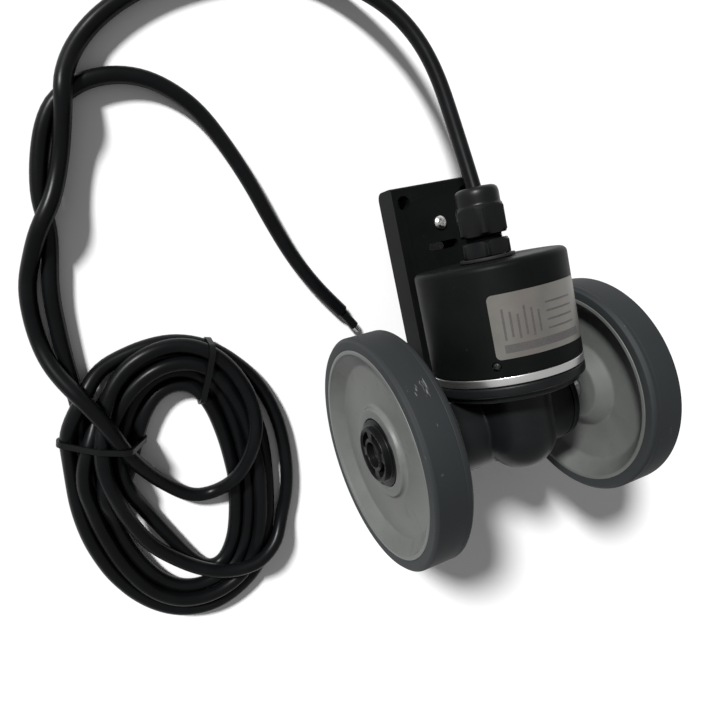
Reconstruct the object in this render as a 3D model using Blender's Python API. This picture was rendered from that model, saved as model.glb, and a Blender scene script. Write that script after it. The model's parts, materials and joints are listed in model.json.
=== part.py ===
"""A wheel encoder: two rubber-tyred wheels on one axle turn a rotary encoder through crossed
helical gears. It lies as it was set down: on its wheels and on the top edge of its bracket,
with its cable beside it on the same surface.

The body frame, which the sizes below are written in, has its origin on the axle between the
wheels: X along the axle, Z along the encoder's shaft towards the cable gland, and the bracket
on the +Y side. The empty "stance" lays that frame down. Lengths are in metres.
"""

import math

import bmesh
import bpy
from mathutils import Euler, Vector

MM = 0.001
GAP = 0.3 * MM  # between two pieces that touch
THREAD_GAP = 0.3 * MM  # round a screw's shank
OVERRUN = 2 * MM  # how far a cutter runs past the face it leaves
QUARTER = math.pi / 2
RING_SIDES = 16  # of the small round pieces

# Wheels
WHEEL_RADIUS = 39.8 * MM  # a circumference of 250 mm
WHEEL_OUTER = 48.6 * MM  # the wheels' outer faces, from the middle of the axle
WHEEL_WIDTH = 13.4 * MM
WHEEL_SIDES = 40
TYRE = 4.0 * MM  # thickness
RIM_RADIUS = WHEEL_RADIUS - TYRE
TYRE_CHAMFER = 1.1 * MM
BEAD_WIDTH = 1.5 * MM
DISH_SLOPE = 4.5 * MM  # how far in the sloped wall runs
DISH_RADIUS = RIM_RADIUS - BEAD_WIDTH - DISH_SLOPE
DISH_DEPTH = 4.2 * MM
WEB = 3.0 * MM
BOSS_RISE = 1.8 * MM
BOSS_WALL = 3.2 * MM
INNER_BOSS_WALL = 1.4 * MM
INNER_BOSS_RISE = 4.4 * MM
INSERT_RADIUS = 11.5 * MM
INSERT_STEP = 2.4 * MM  # the insert's front ring, above its shoulder
INSERT_FRONT_RADIUS = 9.3 * MM
INSERT_RECESS_RADIUS = 4.4 * MM
INSERT_RECESS = 4.6 * MM
INSERT_LENGTH = 8.6 * MM
WINDOW_INNER = 5.7 * MM
WINDOW_OUTER = 7.9 * MM
WINDOW_DEPTH = 3.2 * MM
WINDOW_HALF_ANGLE = math.radians(32)
WINDOWS = 4

# Axle and what it carries
AXLE_Y = -21.178 * MM  # puts the origin under the middle of the body
AXLE_RADIUS = 3.0 * MM
AXLE_CORE_RADIUS = 3.7 * MM
AXLE_SCREW_HEAD_RADIUS = 3.7 * MM
AXLE_SCREW_HEAD = 2.2 * MM
AXLE_SCREW_RADIUS = 1.5 * MM
AXLE_SCREW_LENGTH = 7.0 * MM
BEARING_RADIUS = 7.5 * MM
BEARING_WIDTH = 4.8 * MM
RACE_WALL = 1.3 * MM
SPACER_WALL = 1.3 * MM

# Crossed helical gears, both with the same teeth, at 45 degrees
GEAR_MODULE = 1.0 * MM
GEAR_TEETH = 10
GEAR_HELIX = math.radians(45)
GEAR_WIDTH = 8.0 * MM
GEAR_SECTIONS = 5
TOOTH_RISE_SHARE = 0.92  # of the module, above the pitch circle
TOOTH_ROOT_SHARE = 1.22  # of the module, below it
TOOTH_HALF_SHARE = 0.2  # of the pitch, with the backlash taken off
FLANK_SLOPE = 0.515  # the tangent of the transverse pressure angle
GEAR_HUB_RADIUS = 5.0 * MM
GEAR_HUB = 4.0 * MM

# Gearbox housing
BARREL_RADIUS = 16.0 * MM
BARREL_HALF = 23.5 * MM
BARREL_BORE = 9.2 * MM
BARREL_WALL = 1.3 * MM  # the least that is left behind the bore
BARREL_SIDES = 32
WELL_RADIUS = 12.5 * MM
WELL_BORE = 8.9 * MM
WELL_FLOOR = 9.4 * MM  # below the axle
WELL_BOTTOM = 16.4 * MM  # the dome's lowest point, below the axle
WELL_SIDES = 24
THROAT_RADIUS = 12.1 * MM  # of the neck that joins the well to the barrel
FLANGE_LOW = 14.6 * MM
FLANGE_TOP = 17.8 * MM
FLANGE_STEP = 2.2 * MM
PAD_HALF = 16.5 * MM
PAD_LOW = 15.0 * MM  # below the axle
PAD_TOP = 16.6 * MM
COVER = 2.7 * MM
COVER_CHAMFER = 0.8 * MM
SPIGOT_WALL = 1.1 * MM
SPIGOT = 5.6 * MM
COVER_SCREW_CIRCLE = 12.6 * MM
COVER_SCREW_ANGLES = (math.radians(-52), math.radians(128))
SMALL_SCREW_RADIUS = 1.2 * MM
SMALL_HEAD_RADIUS = 2.2 * MM
SMALL_HEAD = 1.3 * MM
SMALL_SCREW_LENGTH = 6.0 * MM
FLANGE_SCREW_INSET = 5.7 * MM  # from the body's side
FLANGE_SCREW_ANGLES = (math.radians(200), math.radians(340))
FLANGE_SCREW_LENGTH = 4.6 * MM

# Encoder body
BODY_RADIUS = 24.7 * MM
BODY_SIDES = 40
RING = 2.5 * MM  # the bright edge of the base
BASE_SPIGOT = 2.5 * MM
REGISTER_WALL = 1.4 * MM
REGISTER = 5.6 * MM
HUB_WALL = 2.7 * MM
HUB = 14.0 * MM
ENCODER_BEARING_RADIUS = 6.5 * MM
SHAFT_RADIUS = 3.0 * MM
SHAFT_TOP = 41.0 * MM
SHAFT_FOOT = -8.4 * MM
CAP_HEIGHT = 34.1 * MM
CAP_WALL = 1.5 * MM
CAP_TOP = 2.2 * MM
CAP_FILLET = 2.0 * MM
CAP_SCREW_RISE = 3.3 * MM
CAP_SCREW_ANGLES = (math.radians(228.6), math.radians(48.6))
CAP_SCREW_LENGTH = 4.0 * MM
LABEL = 0.25 * MM
LABEL_GAP = 0.15 * MM
LABEL_RISE = 5.2 * MM  # above the cap's rim
LABEL_HEIGHT = 19.5 * MM
LABEL_HALF_FACETS = 4.5
DISC_HUB_RADIUS = 6.3 * MM
DISC_HUB = 3.6 * MM
DISC_CLEARANCE = 1.1 * MM  # to the posts
DISC = 0.6 * MM
DISC_SLITS = 24
SLIT_DEPTH = 2.6 * MM
BOARD = 1.6 * MM
BOARD_HOLE = 5.0 * MM
BOARD_RISE = 2.9 * MM  # above the disc
POST_RADIUS = 1.4 * MM
POST_ANGLES = (math.radians(90), math.radians(270))
SENSOR_REACH = 4.0 * MM  # over the disc's rim
SENSOR_WALL = 1.6 * MM
SENSOR_HALF_WIDTH = 4.0 * MM
SENSOR_CLEARANCE = 0.9 * MM

# Cable gland
GLAND_FLATS = 15.0 * MM
GLAND_THREAD_RADIUS = 6.0 * MM
GLAND_BORE = 3.2 * MM
GLAND_STUB = 6.5 * MM  # inside the cap
GLAND_HEX = 4.9 * MM
GLAND_NECK = 1.6 * MM  # seen between the two hexagons
GLAND_NUT = 9.5 * MM
GLAND_NECK_REACH = 7.0 * MM  # the neck's length inside the nut
DOME_RADIUS = 7.5 * MM
DOME = 6.1 * MM
DOME_SHARES = ((1.0, 0.0), (1.0, 0.5), (0.93, 0.78), (0.76, 0.94), (0.55, 1.0))
NUT_CEILING = 2.4 * MM
NUT_MOUTH = 2.95 * MM
WASHER_RADIUS = 9.0 * MM
WASHER = 0.9 * MM
SEAL = 3.2 * MM
GLAND_SIDES = 20

# Bracket
BRACKET_HALF = 17.0 * MM
BRACKET_DEPTH = 10.6 * MM
BRACKET_TOP = 85.0 * MM
BRACKET_LOW = 15.0 * MM  # below the axle
BRACKET_ROUND = 3.0 * MM
BRACKET_FRONT_ROUND = 1.0 * MM
HOLE_RADIUS = 2.5 * MM
HOLE_X = 12.8 * MM
HOLE_DROP = 5.5 * MM  # below the bracket's top
NUT_POCKET_FLATS = 7.2 * MM
NUT_POCKET = 5.0 * MM
SLOT_HALF = 6.2 * MM
SLOT_HEIGHT = 2.9 * MM
SLOT_RISE = 62.4 * MM
STEEL_SCREW_RISE = 70.5 * MM
STEEL_HEAD_RADIUS = 2.5 * MM
STEEL_HEAD = 1.6 * MM
STEEL_SCREW_RADIUS = 1.5 * MM
STEEL_SCREW_LENGTH = 7.6 * MM
SCREW_CROSS = 0.6 * MM
SCREW_CROSS_SHARE = 0.62  # of the head's radius
FIXING_X = 11.5 * MM
FIXING_RISE = 12.3 * MM
FIXING_REACH = 6.0 * MM  # into the housing
FIXING_HEAD_RADIUS = 2.75 * MM
FIXING_HEAD = 2.4 * MM
FIXING_SINK = 4.0 * MM

# Cable
CABLE_RADIUS = 2.5 * MM
CABLE_INSIDE = 4.0 * MM  # how far the cable starts inside the gland
POINT_SPACING = 10.0 * MM
SLEEVE_RADIUS = 1.8 * MM
COIL_X = -104.5 * MM
COIL_Y = -31.6 * MM
COIL_END_RADIUS = 31.6 * MM  # of the outermost turn's centreline
COIL_END_Y = 21.4 * MM
COIL_SIDE_ARC = math.radians(15)  # from the middle of a side to where the end's arc starts
COIL_SIDE_SHARE = 0.25  # of a quarter turn's points
COIL_TURNS = 5.84
COIL_START = 0.43  # of a turn
COIL_PITCH = 5.7 * MM
COIL_LAYER = 5.7 * MM
COIL_POINTS = 24  # to a turn
CLIMB_TURNS = 0.5
TIE = 0.9 * MM
TIE_WIDTH = 2.0 * MM
TIE_GAP = 0.45 * MM
TIE_TURNS = {"tie_left": 0.447, "tie_right": 0.2}
TIE_LIFT = 0.05 * MM  # above the surface
COIL_FLOOR = CABLE_RADIUS + TIE_GAP + TIE + TIE_LIFT

# The cable's route where it isn't coiled, chosen by hand and centred on the gland's mouth in X
RUN_ROUTE = [
    (-0.6, 74.0, 32.0),
    (-1.6, 85.5, 29.0),
    (-3.0, 95.0, 26.0),
    (-6.0, 105.0, 21.8),
    (-12.5, 115.0, 16.8),
    (-23.0, 123.0, 11.6),
    (-36.5, 128.0, 7.2),
    (-52.0, 130.0, 4.0),
    (-68.0, 129.5, 2.6),
    (-84.0, 126.0, 2.8),
    (-98.0, 119.5, 4.2),
    (-107.5, 111.5, 6.6),
    (-112.6, 103.0, 8.2),
    (-115.0, 95.0, 8.4),
    (-117.2, 87.0, 8.3),
    (-120.3, 79.0, 8.3),
    (-124.0, 72.2, 8.4),
    (-128.3, 65.0, 8.4),
    (-132.6, 57.0, 7.4),
    (-136.4, 47.5, 5.0),
    (-138.4, 37.0, 2.8),
    (-137.6, 25.5, 2.7),
    (-135.6, 14.5, 3.1),
]
TAIL_ROUTE = [
    (-119.5, 19.8, 8.5),
    (-127.4, 23.8, 6.2),
    (-131.0, 32.0, 3.8),
    (-130.8, 40.5, 2.6),
    (-129.9, 48.5, 2.6),
    (-128.9, 57.0, 2.6),
    (-128.0, 65.0, 2.6),
    (-127.6, 72.5, 2.6),
    (-126.4, 79.5, 2.6),
    (-124.1, 86.5, 2.6),
    (-120.4, 94.0, 2.6),
    (-115.4, 99.6, 2.6),
    (-108.8, 102.8, 2.6),
    (-101.5, 103.8, 2.6),
    (-93.5, 103.0, 2.6),
    (-86.0, 99.8, 2.6),
    (-77.5, 92.6, 2.6),
    (-70.6, 81.5, 2.6),
    (-64.3, 68.3, 2.6),
    (-59.2, 54.9, 2.6),
    (-53.2, 41.0, 2.6),
    (-45.8, 28.6, 2.6),
    (-38.0, 18.2, 2.6),
]
SLEEVE_END = (-33.6, 11.4, 2.6)

# Worked out from the sizes above
GEAR_OFFSET = GEAR_MODULE * GEAR_TEETH / math.cos(GEAR_HELIX)  # the shaft lies this far in front of the axle
PITCH_RADIUS = GEAR_OFFSET / 2
BRACKET_FRONT = max(BODY_RADIUS - GEAR_OFFSET, BARREL_BORE + BARREL_WALL) + GAP + GAP
BRACKET_BACK = BRACKET_FRONT + BRACKET_DEPTH
PAD_BACK = BRACKET_FRONT - GAP
RING_LOW = FLANGE_TOP + GAP
RING_TOP = RING_LOW + RING
CAP_LOW = RING_TOP + GAP
CAP_HIGH = CAP_LOW + CAP_HEIGHT
WASHER_LOW = CAP_HIGH + GAP
HEX_LOW = WASHER_LOW + WASHER + GAP
HEX_HIGH = HEX_LOW + GLAND_HEX
NUT_LOW = HEX_HIGH + GLAND_NECK
NUT_HIGH = NUT_LOW + GLAND_NUT
NECK_HIGH = NUT_LOW + GLAND_NECK_REACH
DOME_HIGH = NUT_HIGH + DOME
COVER_IN = BARREL_HALF + GAP
COVER_OUT = COVER_IN + COVER
RACE_OUT = COVER_IN - GAP - GAP
RACE_IN = RACE_OUT - BEARING_WIDTH
INSERT_OUTER = WHEEL_OUTER
INSERT_IN = INSERT_OUTER - INSERT_LENGTH
WEB_OUT = WHEEL_OUTER - DISH_DEPTH
WEB_IN = WEB_OUT - WEB
BOSS_IN = WEB_IN - INNER_BOSS_RISE
BEARING_ONE = RING_LOW - BASE_SPIGOT + GAP
HUB_HIGH = RING_TOP + HUB
BEARING_TWO = HUB_HIGH - GAP - BEARING_WIDTH
DISC_HUB_LOW = HUB_HIGH + GAP + GAP
DISC_LOW = DISC_HUB_LOW + DISC_HUB + GAP
BOARD_LOW = DISC_LOW + DISC + BOARD_RISE
REGISTER_RADIUS = BODY_RADIUS - CAP_WALL - GAP
BOARD_RADIUS = REGISTER_RADIUS - REGISTER_WALL - GAP - GAP
POST_CIRCLE = BOARD_RADIUS - POST_RADIUS
DISC_RADIUS = POST_CIRCLE - POST_RADIUS - DISC_CLEARANCE
FLANGE_STEP_RADIUS = BODY_RADIUS - FLANGE_STEP
FLANGE_SCREW_CIRCLE = BODY_RADIUS - FLANGE_SCREW_INSET
INNER_BOSS_RADIUS = INSERT_RADIUS + GAP + INNER_BOSS_WALL

# The lean that sets the bracket's rounded top edge on the surface that the wheels stand on
EDGE_Y = BRACKET_BACK - BRACKET_ROUND
EDGE_Z = BRACKET_TOP - BRACKET_ROUND
LEAN = math.atan2(EDGE_Z, EDGE_Y) + math.asin((WHEEL_RADIUS - BRACKET_ROUND) / math.hypot(EDGE_Y, EDGE_Z))


def clear_scene():
    for obj in list(bpy.data.objects):
        bpy.data.objects.remove(obj)


def finish(name, colour, roughness, metallic=0.0):
    """A plain Principled material."""
    material = bpy.data.materials.new(name)
    material.use_nodes = True
    shader = material.node_tree.nodes["Principled BSDF"]
    shader.inputs["Base Color"].default_value = (*colour, 1.0)
    shader.inputs["Roughness"].default_value = roughness
    shader.inputs["Metallic"].default_value = metallic
    return material


def frame(name, parent, place=(0.0, 0.0, 0.0), turn=(0.0, 0.0, 0.0)):
    """An empty that pieces are placed in."""
    empty = bpy.data.objects.new(name, None)
    bpy.context.scene.collection.objects.link(empty)
    empty.parent = parent
    empty.location = place
    empty.rotation_euler = turn
    return empty


def mesh_from(bm):
    bmesh.ops.recalc_face_normals(bm, faces=bm.faces)
    mesh = bpy.data.meshes.new("shape")
    bm.to_mesh(mesh)
    bm.free()
    return mesh


def turned(outline, sides, start=0.0):
    """A closed outline of (radius, height) points turned about Z."""
    bm = bmesh.new()
    rings = []
    for radius, height in outline:
        if radius == 0:
            rings.append([bm.verts.new((0.0, 0.0, height))] * sides)
            continue
        angles = [start + math.tau * i / sides for i in range(sides)]
        rings.append([bm.verts.new((radius * math.cos(a), radius * math.sin(a), height)) for a in angles])
    for first, second in zip(rings, rings[1:] + rings[:1]):
        for i in range(sides):
            j = (i + 1) % sides
            corners = list(dict.fromkeys((first[i], first[j], second[j], second[i])))
            if len(corners) > 2:
                bm.faces.new(corners)
    return mesh_from(bm)


def tube(inner, outer, low, high, sides):
    return turned([(inner, low), (outer, low), (outer, high), (inner, high)], sides)


def rod(radius, low, high, sides):
    return turned([(0, low), (radius, low), (radius, high), (0, high)], sides)


def prism(outline, low, high):
    """An outline of (x, y) points extruded along Z."""
    bm = bmesh.new()
    face = bm.faces.new([bm.verts.new((x, y, low)) for x, y in outline])
    made = bmesh.ops.extrude_face_region(bm, geom=[face])["geom"]
    verts = [item for item in made if isinstance(item, bmesh.types.BMVert)]
    bmesh.ops.translate(bm, verts=verts, vec=(0.0, 0.0, high - low))
    return mesh_from(bm)


def block(x, y, z):
    """A box between two corners, given as (low, high) pairs."""
    return prism([(x[0], y[0]), (x[1], y[0]), (x[1], y[1]), (x[0], y[1])], *z)


def arc(centre, radius, first, last, steps):
    """Points of an arc, both ends included."""
    turns = [first + (last - first) * i / steps for i in range(steps + 1)]
    return [(centre[0] + radius * math.cos(a), centre[1] + radius * math.sin(a)) for a in turns]


def hexagon(flats):
    """A hexagon with two of its flats across Y."""
    return arc((0.0, 0.0), flats / math.sqrt(3), 0.0, math.tau * 5 / 6, 5)


def put(name, mesh, parent, material=None, place=(0.0, 0.0, 0.0), turn=(0.0, 0.0, 0.0)):
    """An object of that mesh; with no material it is a hidden helper for Booleans."""
    obj = bpy.data.objects.new(name, mesh)
    bpy.context.scene.collection.objects.link(obj)
    obj.parent = parent
    obj.location = place
    obj.rotation_euler = turn
    if material is None:
        obj.hide_render = True
        obj.display_type = "WIRE"
        return obj
    mesh.materials.append(material)
    mesh.shade_smooth()
    mesh.set_sharp_from_angle(angle=math.radians(32))
    return obj


def faced(turn, x, y, z):
    """A place in a frame that has that turn."""
    return Euler(turn).to_matrix() @ Vector((x, y, z))


def combine(obj, operation, *tools):
    for tool in tools:
        boolean = obj.modifiers.new(tool.name, "BOOLEAN")
        boolean.operation = operation
        boolean.solver = "EXACT"
        boolean.object = tool
    return obj


def cut(obj, *tools):
    return combine(obj, "DIFFERENCE", *tools)


def join(obj, *tools):
    return combine(obj, "UNION", *tools)


def screw(head_radius, head, radius, length, sides=10):
    """A screw whose head's underside is at 0, with its shank pointing down."""
    outline = [(0, head), (head_radius, head), (head_radius, 0), (radius, 0), (radius, -length), (0, -length)]
    return turned(outline, sides)


def helical_gear(name, parent, material, bore, tooth_at, hub_side):
    """A gear of twisted sections about Z, with a tooth centred at the angle tooth_at at height 0."""
    pitch_angle = math.tau / GEAR_TEETH
    half = TOOTH_HALF_SHARE * pitch_angle
    corners = []
    for rise, spread in ((-TOOTH_ROOT_SHARE, -1), (TOOTH_RISE_SHARE, -1), (TOOTH_RISE_SHARE, 1), (-TOOTH_ROOT_SHARE, 1)):
        height = rise * GEAR_MODULE
        corners.append((PITCH_RADIUS + height, spread * (half - height * FLANK_SLOPE / PITCH_RADIUS)))
    bm = bmesh.new()
    rings = []
    for k in range(GEAR_SECTIONS):
        z = GEAR_WIDTH * (k / (GEAR_SECTIONS - 1) - 0.5)
        twist = tooth_at - z * math.tan(GEAR_HELIX) / PITCH_RADIUS
        ring = []
        for tooth in range(GEAR_TEETH):
            for radius, angle in corners:
                a = twist + tooth * pitch_angle + angle
                ring.append(bm.verts.new((radius * math.cos(a), radius * math.sin(a), z)))
        rings.append(ring)
    for first, second in zip(rings, rings[1:]):
        for i in range(len(first)):
            j = (i + 1) % len(first)
            bm.faces.new((first[i], first[j], second[j], second[i]))
    bm.faces.new(rings[0])
    bm.faces.new(rings[-1])
    gear = put(name, mesh_from(bm), parent, material)
    ends = sorted((0.0, hub_side * (GEAR_WIDTH / 2 + GEAR_HUB)))
    join(gear, put(name + "_hub_shape", rod(GEAR_HUB_RADIUS, *ends, 20), parent))
    reach = GEAR_WIDTH / 2 + GEAR_HUB + OVERRUN
    return cut(gear, put(name + "_bore", rod(bore, -reach, reach, 20), parent))


def make_wheel(side, turn, line, finishes):
    """Tyre, rim, hub insert and axle screw, with the wheel's outer side towards +Z."""
    low = WHEEL_OUTER - WHEEL_WIDTH
    tread = TYRE_CHAMFER
    down = LEAN if turn[0] == 0 else -LEAN  # where the wheel stands on the surface
    tyre = turned(
        [
            (RIM_RADIUS + GAP, low), (WHEEL_RADIUS - tread, low), (WHEEL_RADIUS, low + tread),
            (WHEEL_RADIUS, WHEEL_OUTER - tread), (WHEEL_RADIUS - tread, WHEEL_OUTER),
            (RIM_RADIUS + GAP, WHEEL_OUTER),
        ],
        WHEEL_SIDES,
        down,
    )
    put(side + "_tyre", tyre, line, finishes["rubber"], turn=turn)
    bore = INSERT_RADIUS + GAP
    rim = turned(
        [
            (RIM_RADIUS, low), (RIM_RADIUS, WHEEL_OUTER), (RIM_RADIUS - BEAD_WIDTH, WHEEL_OUTER),
            (DISH_RADIUS, WEB_OUT), (bore + BOSS_WALL, WEB_OUT), (bore + BOSS_WALL, WEB_OUT + BOSS_RISE),
            (bore, WEB_OUT + BOSS_RISE), (bore, INSERT_IN - GAP), (AXLE_RADIUS + GAP, INSERT_IN - GAP),
            (AXLE_RADIUS + GAP, BOSS_IN), (INNER_BOSS_RADIUS, BOSS_IN), (INNER_BOSS_RADIUS, WEB_IN),
            (DISH_RADIUS, WEB_IN), (RIM_RADIUS - BEAD_WIDTH, low),
        ],
        WHEEL_SIDES,
        down,
    )
    put(side + "_rim", rim, line, finishes["rim"], turn=turn)
    shoulder = INSERT_OUTER - INSERT_STEP
    recess = INSERT_OUTER - INSERT_RECESS
    insert = turned(
        [
            (AXLE_RADIUS + GAP, INSERT_IN), (INSERT_RADIUS, INSERT_IN), (INSERT_RADIUS, shoulder),
            (INSERT_FRONT_RADIUS, shoulder), (INSERT_FRONT_RADIUS, INSERT_OUTER),
            (INSERT_RECESS_RADIUS, INSERT_OUTER), (INSERT_RECESS_RADIUS, recess), (AXLE_RADIUS + GAP, recess),
        ],
        24,
    )
    insert = put(side + "_hub_insert", insert, line, finishes["black"], turn=turn)
    for k in range(WINDOWS):
        middle = math.tau * (k + 0.5) / WINDOWS
        ends = (middle - WINDOW_HALF_ANGLE, middle + WINDOW_HALF_ANGLE)
        outline = arc((0.0, 0.0), WINDOW_OUTER, *ends, 4) + arc((0.0, 0.0), WINDOW_INNER, *ends[::-1], 4)
        window = prism(outline, INSERT_OUTER - WINDOW_DEPTH, INSERT_OUTER + OVERRUN)
        cut(insert, put(f"{side}_window_{k}", window, line, turn=turn))
    shape = screw(AXLE_SCREW_HEAD_RADIUS, AXLE_SCREW_HEAD, AXLE_SCREW_RADIUS, AXLE_SCREW_LENGTH, 20)
    place = faced(turn, 0.0, 0.0, recess + GAP)
    put(side + "_axle_screw", shape, line, finishes["dark_steel"], place, turn)


def make_axle(line, finishes):
    """The axle set and its bearings; it returns the screw holes that the covers share with the housing."""
    end = INSERT_OUTER - INSERT_RECESS
    hole = AXLE_SCREW_RADIUS + THREAD_GAP
    bottom = end - AXLE_SCREW_LENGTH - THREAD_GAP
    step = RACE_IN - GAP
    upper = [(0, bottom), (hole, bottom), (hole, end), (AXLE_RADIUS, end), (AXLE_RADIUS, step), (AXLE_CORE_RADIUS, step)]
    lower = [(radius, -height) for radius, height in reversed(upper)]
    put("axle", turned(upper + lower, RING_SIDES), line, finishes["steel"])
    helical_gear("drive_gear", line, finishes["brass"], AXLE_CORE_RADIUS + GAP, -QUARTER, -1)
    inner = AXLE_RADIUS + GAP
    holes = []
    for side, turn in (("left", (math.pi, 0.0, 0.0)), ("right", (0.0, 0.0, 0.0))):
        spacer = tube(inner, inner + SPACER_WALL, RACE_OUT + GAP, BOSS_IN - GAP, RING_SIDES)
        put(side + "_spacer", spacer, line, finishes["steel"], turn=turn)
        race = tube(inner, inner + RACE_WALL, RACE_IN, RACE_OUT, RING_SIDES)
        put(side + "_bearing_inner_race", race, line, finishes["steel"], turn=turn)
        ring = tube(inner + RACE_WALL + GAP, BEARING_RADIUS, RACE_IN, RACE_OUT, RING_SIDES)
        put(side + "_bearing_outer_race", ring, line, finishes["steel"], turn=turn)
        make_wheel(side, turn, line, finishes)
        holes += make_cover(side, turn, line, finishes)
    return holes


def make_cover(side, turn, line, finishes):
    """The barrel's end cover, which holds the axle bearing and a seal."""
    seat = BEARING_RADIUS + GAP
    lip = seat - RACE_WALL
    cover = turned(
        [
            (lip, COVER_OUT), (BARREL_RADIUS - COVER_CHAMFER, COVER_OUT), (BARREL_RADIUS, COVER_OUT - COVER_CHAMFER),
            (BARREL_RADIUS, COVER_IN), (seat + SPIGOT_WALL, COVER_IN), (seat + SPIGOT_WALL, COVER_IN - SPIGOT),
            (seat, COVER_IN - SPIGOT), (seat, RACE_OUT + GAP), (lip, RACE_OUT + GAP),
        ],
        BARREL_SIDES,
    )
    cover = put(side + "_end_cover", cover, line, finishes["black"], turn=turn)
    spacer = AXLE_RADIUS + GAP + SPACER_WALL
    seal = tube(spacer + GAP, lip - GAP, RACE_OUT + GAP + GAP, COVER_OUT - GAP, RING_SIDES)
    put(side + "_axle_seal", seal, line, finishes["rubber"], turn=turn)
    sink = COVER_OUT - SMALL_HEAD - GAP
    holes = []
    for k, angle in enumerate(COVER_SCREW_ANGLES):
        x = COVER_SCREW_CIRCLE * math.cos(angle)
        y = COVER_SCREW_CIRCLE * math.sin(angle)
        hole = turned(
            [
                (0, COVER_OUT + OVERRUN), (SMALL_HEAD_RADIUS + GAP, COVER_OUT + OVERRUN),
                (SMALL_HEAD_RADIUS + GAP, sink), (SMALL_SCREW_RADIUS + THREAD_GAP, sink),
                (SMALL_SCREW_RADIUS + THREAD_GAP, sink - SMALL_SCREW_LENGTH - GAP),
                (0, sink - SMALL_SCREW_LENGTH - GAP),
            ],
            10,
        )
        tool = put(f"{side}_cover_hole_{k}", hole, line, place=faced(turn, x, y, 0.0), turn=turn)
        cut(cover, tool)
        holes.append(tool)
        shape = screw(SMALL_HEAD_RADIUS, SMALL_HEAD - GAP, SMALL_SCREW_RADIUS, SMALL_SCREW_LENGTH)
        place = faced(turn, x, y, sink + GAP)
        put(f"{side}_cover_screw_{k + 1}", shape, line, finishes["dark_steel"], place, turn)
    return holes


def make_housing(stance, line, shaft, plate, screw_holes, finishes):
    """A barrel round the axle, a domed well round the driven gear, a flange and a pad for the bracket."""
    shape = rod(BARREL_RADIUS, -BARREL_HALF, BARREL_HALF, BARREL_SIDES)
    housing = put("gearbox_housing", shape, line, finishes["black"])
    centre = WELL_RADIUS - WELL_BOTTOM
    quarter = arc((0.0, centre), WELL_RADIUS, -QUARTER, 0.0, 6)
    quarter[0] = (0, quarter[0][1])
    dome = turned(quarter + [(WELL_RADIUS, FLANGE_LOW), (0, FLANGE_LOW)], WELL_SIDES)
    half_circle = arc((0.0, centre), THROAT_RADIUS, math.pi, math.tau, 12)
    throat = prism(half_circle + [(THROAT_RADIUS, FLANGE_LOW), (-THROAT_RADIUS, FLANGE_LOW)], OVERRUN, GEAR_OFFSET)
    step = FLANGE_LOW - FLANGE_STEP
    flange = turned(
        [
            (0, step), (FLANGE_STEP_RADIUS, step), (FLANGE_STEP_RADIUS, FLANGE_LOW), (BODY_RADIUS, FLANGE_LOW),
            (BODY_RADIUS, FLANGE_TOP), (0, FLANGE_TOP),
        ],
        BODY_SIDES,
    )
    pad = block((-PAD_HALF, PAD_HALF), (-OVERRUN / 2, PAD_BACK + OVERRUN), (-PAD_LOW, PAD_TOP))
    join(
        housing,
        put("well_shape", dome, shaft),
        put("throat_shape", throat, plate),
        put("flange_shape", flange, shaft),
        put("pad_shape", pad, stance),
    )
    end = BARREL_HALF + OVERRUN
    flat = block((-end, end), (PAD_BACK, BARREL_RADIUS + OVERRUN), (-BARREL_RADIUS - OVERRUN, FLANGE_TOP))
    cut(housing, put("flat_shape", flat, stance))
    barrel = rod(BARREL_BORE, -BARREL_HALF - OVERRUN, BARREL_HALF + OVERRUN, BARREL_SIDES)
    well = rod(WELL_BORE, -WELL_FLOOR, FLANGE_TOP + OVERRUN, WELL_SIDES)
    cut(housing, put("barrel_bore", barrel, line), put("well_bore", well, shaft), *screw_holes)
    return housing


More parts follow.
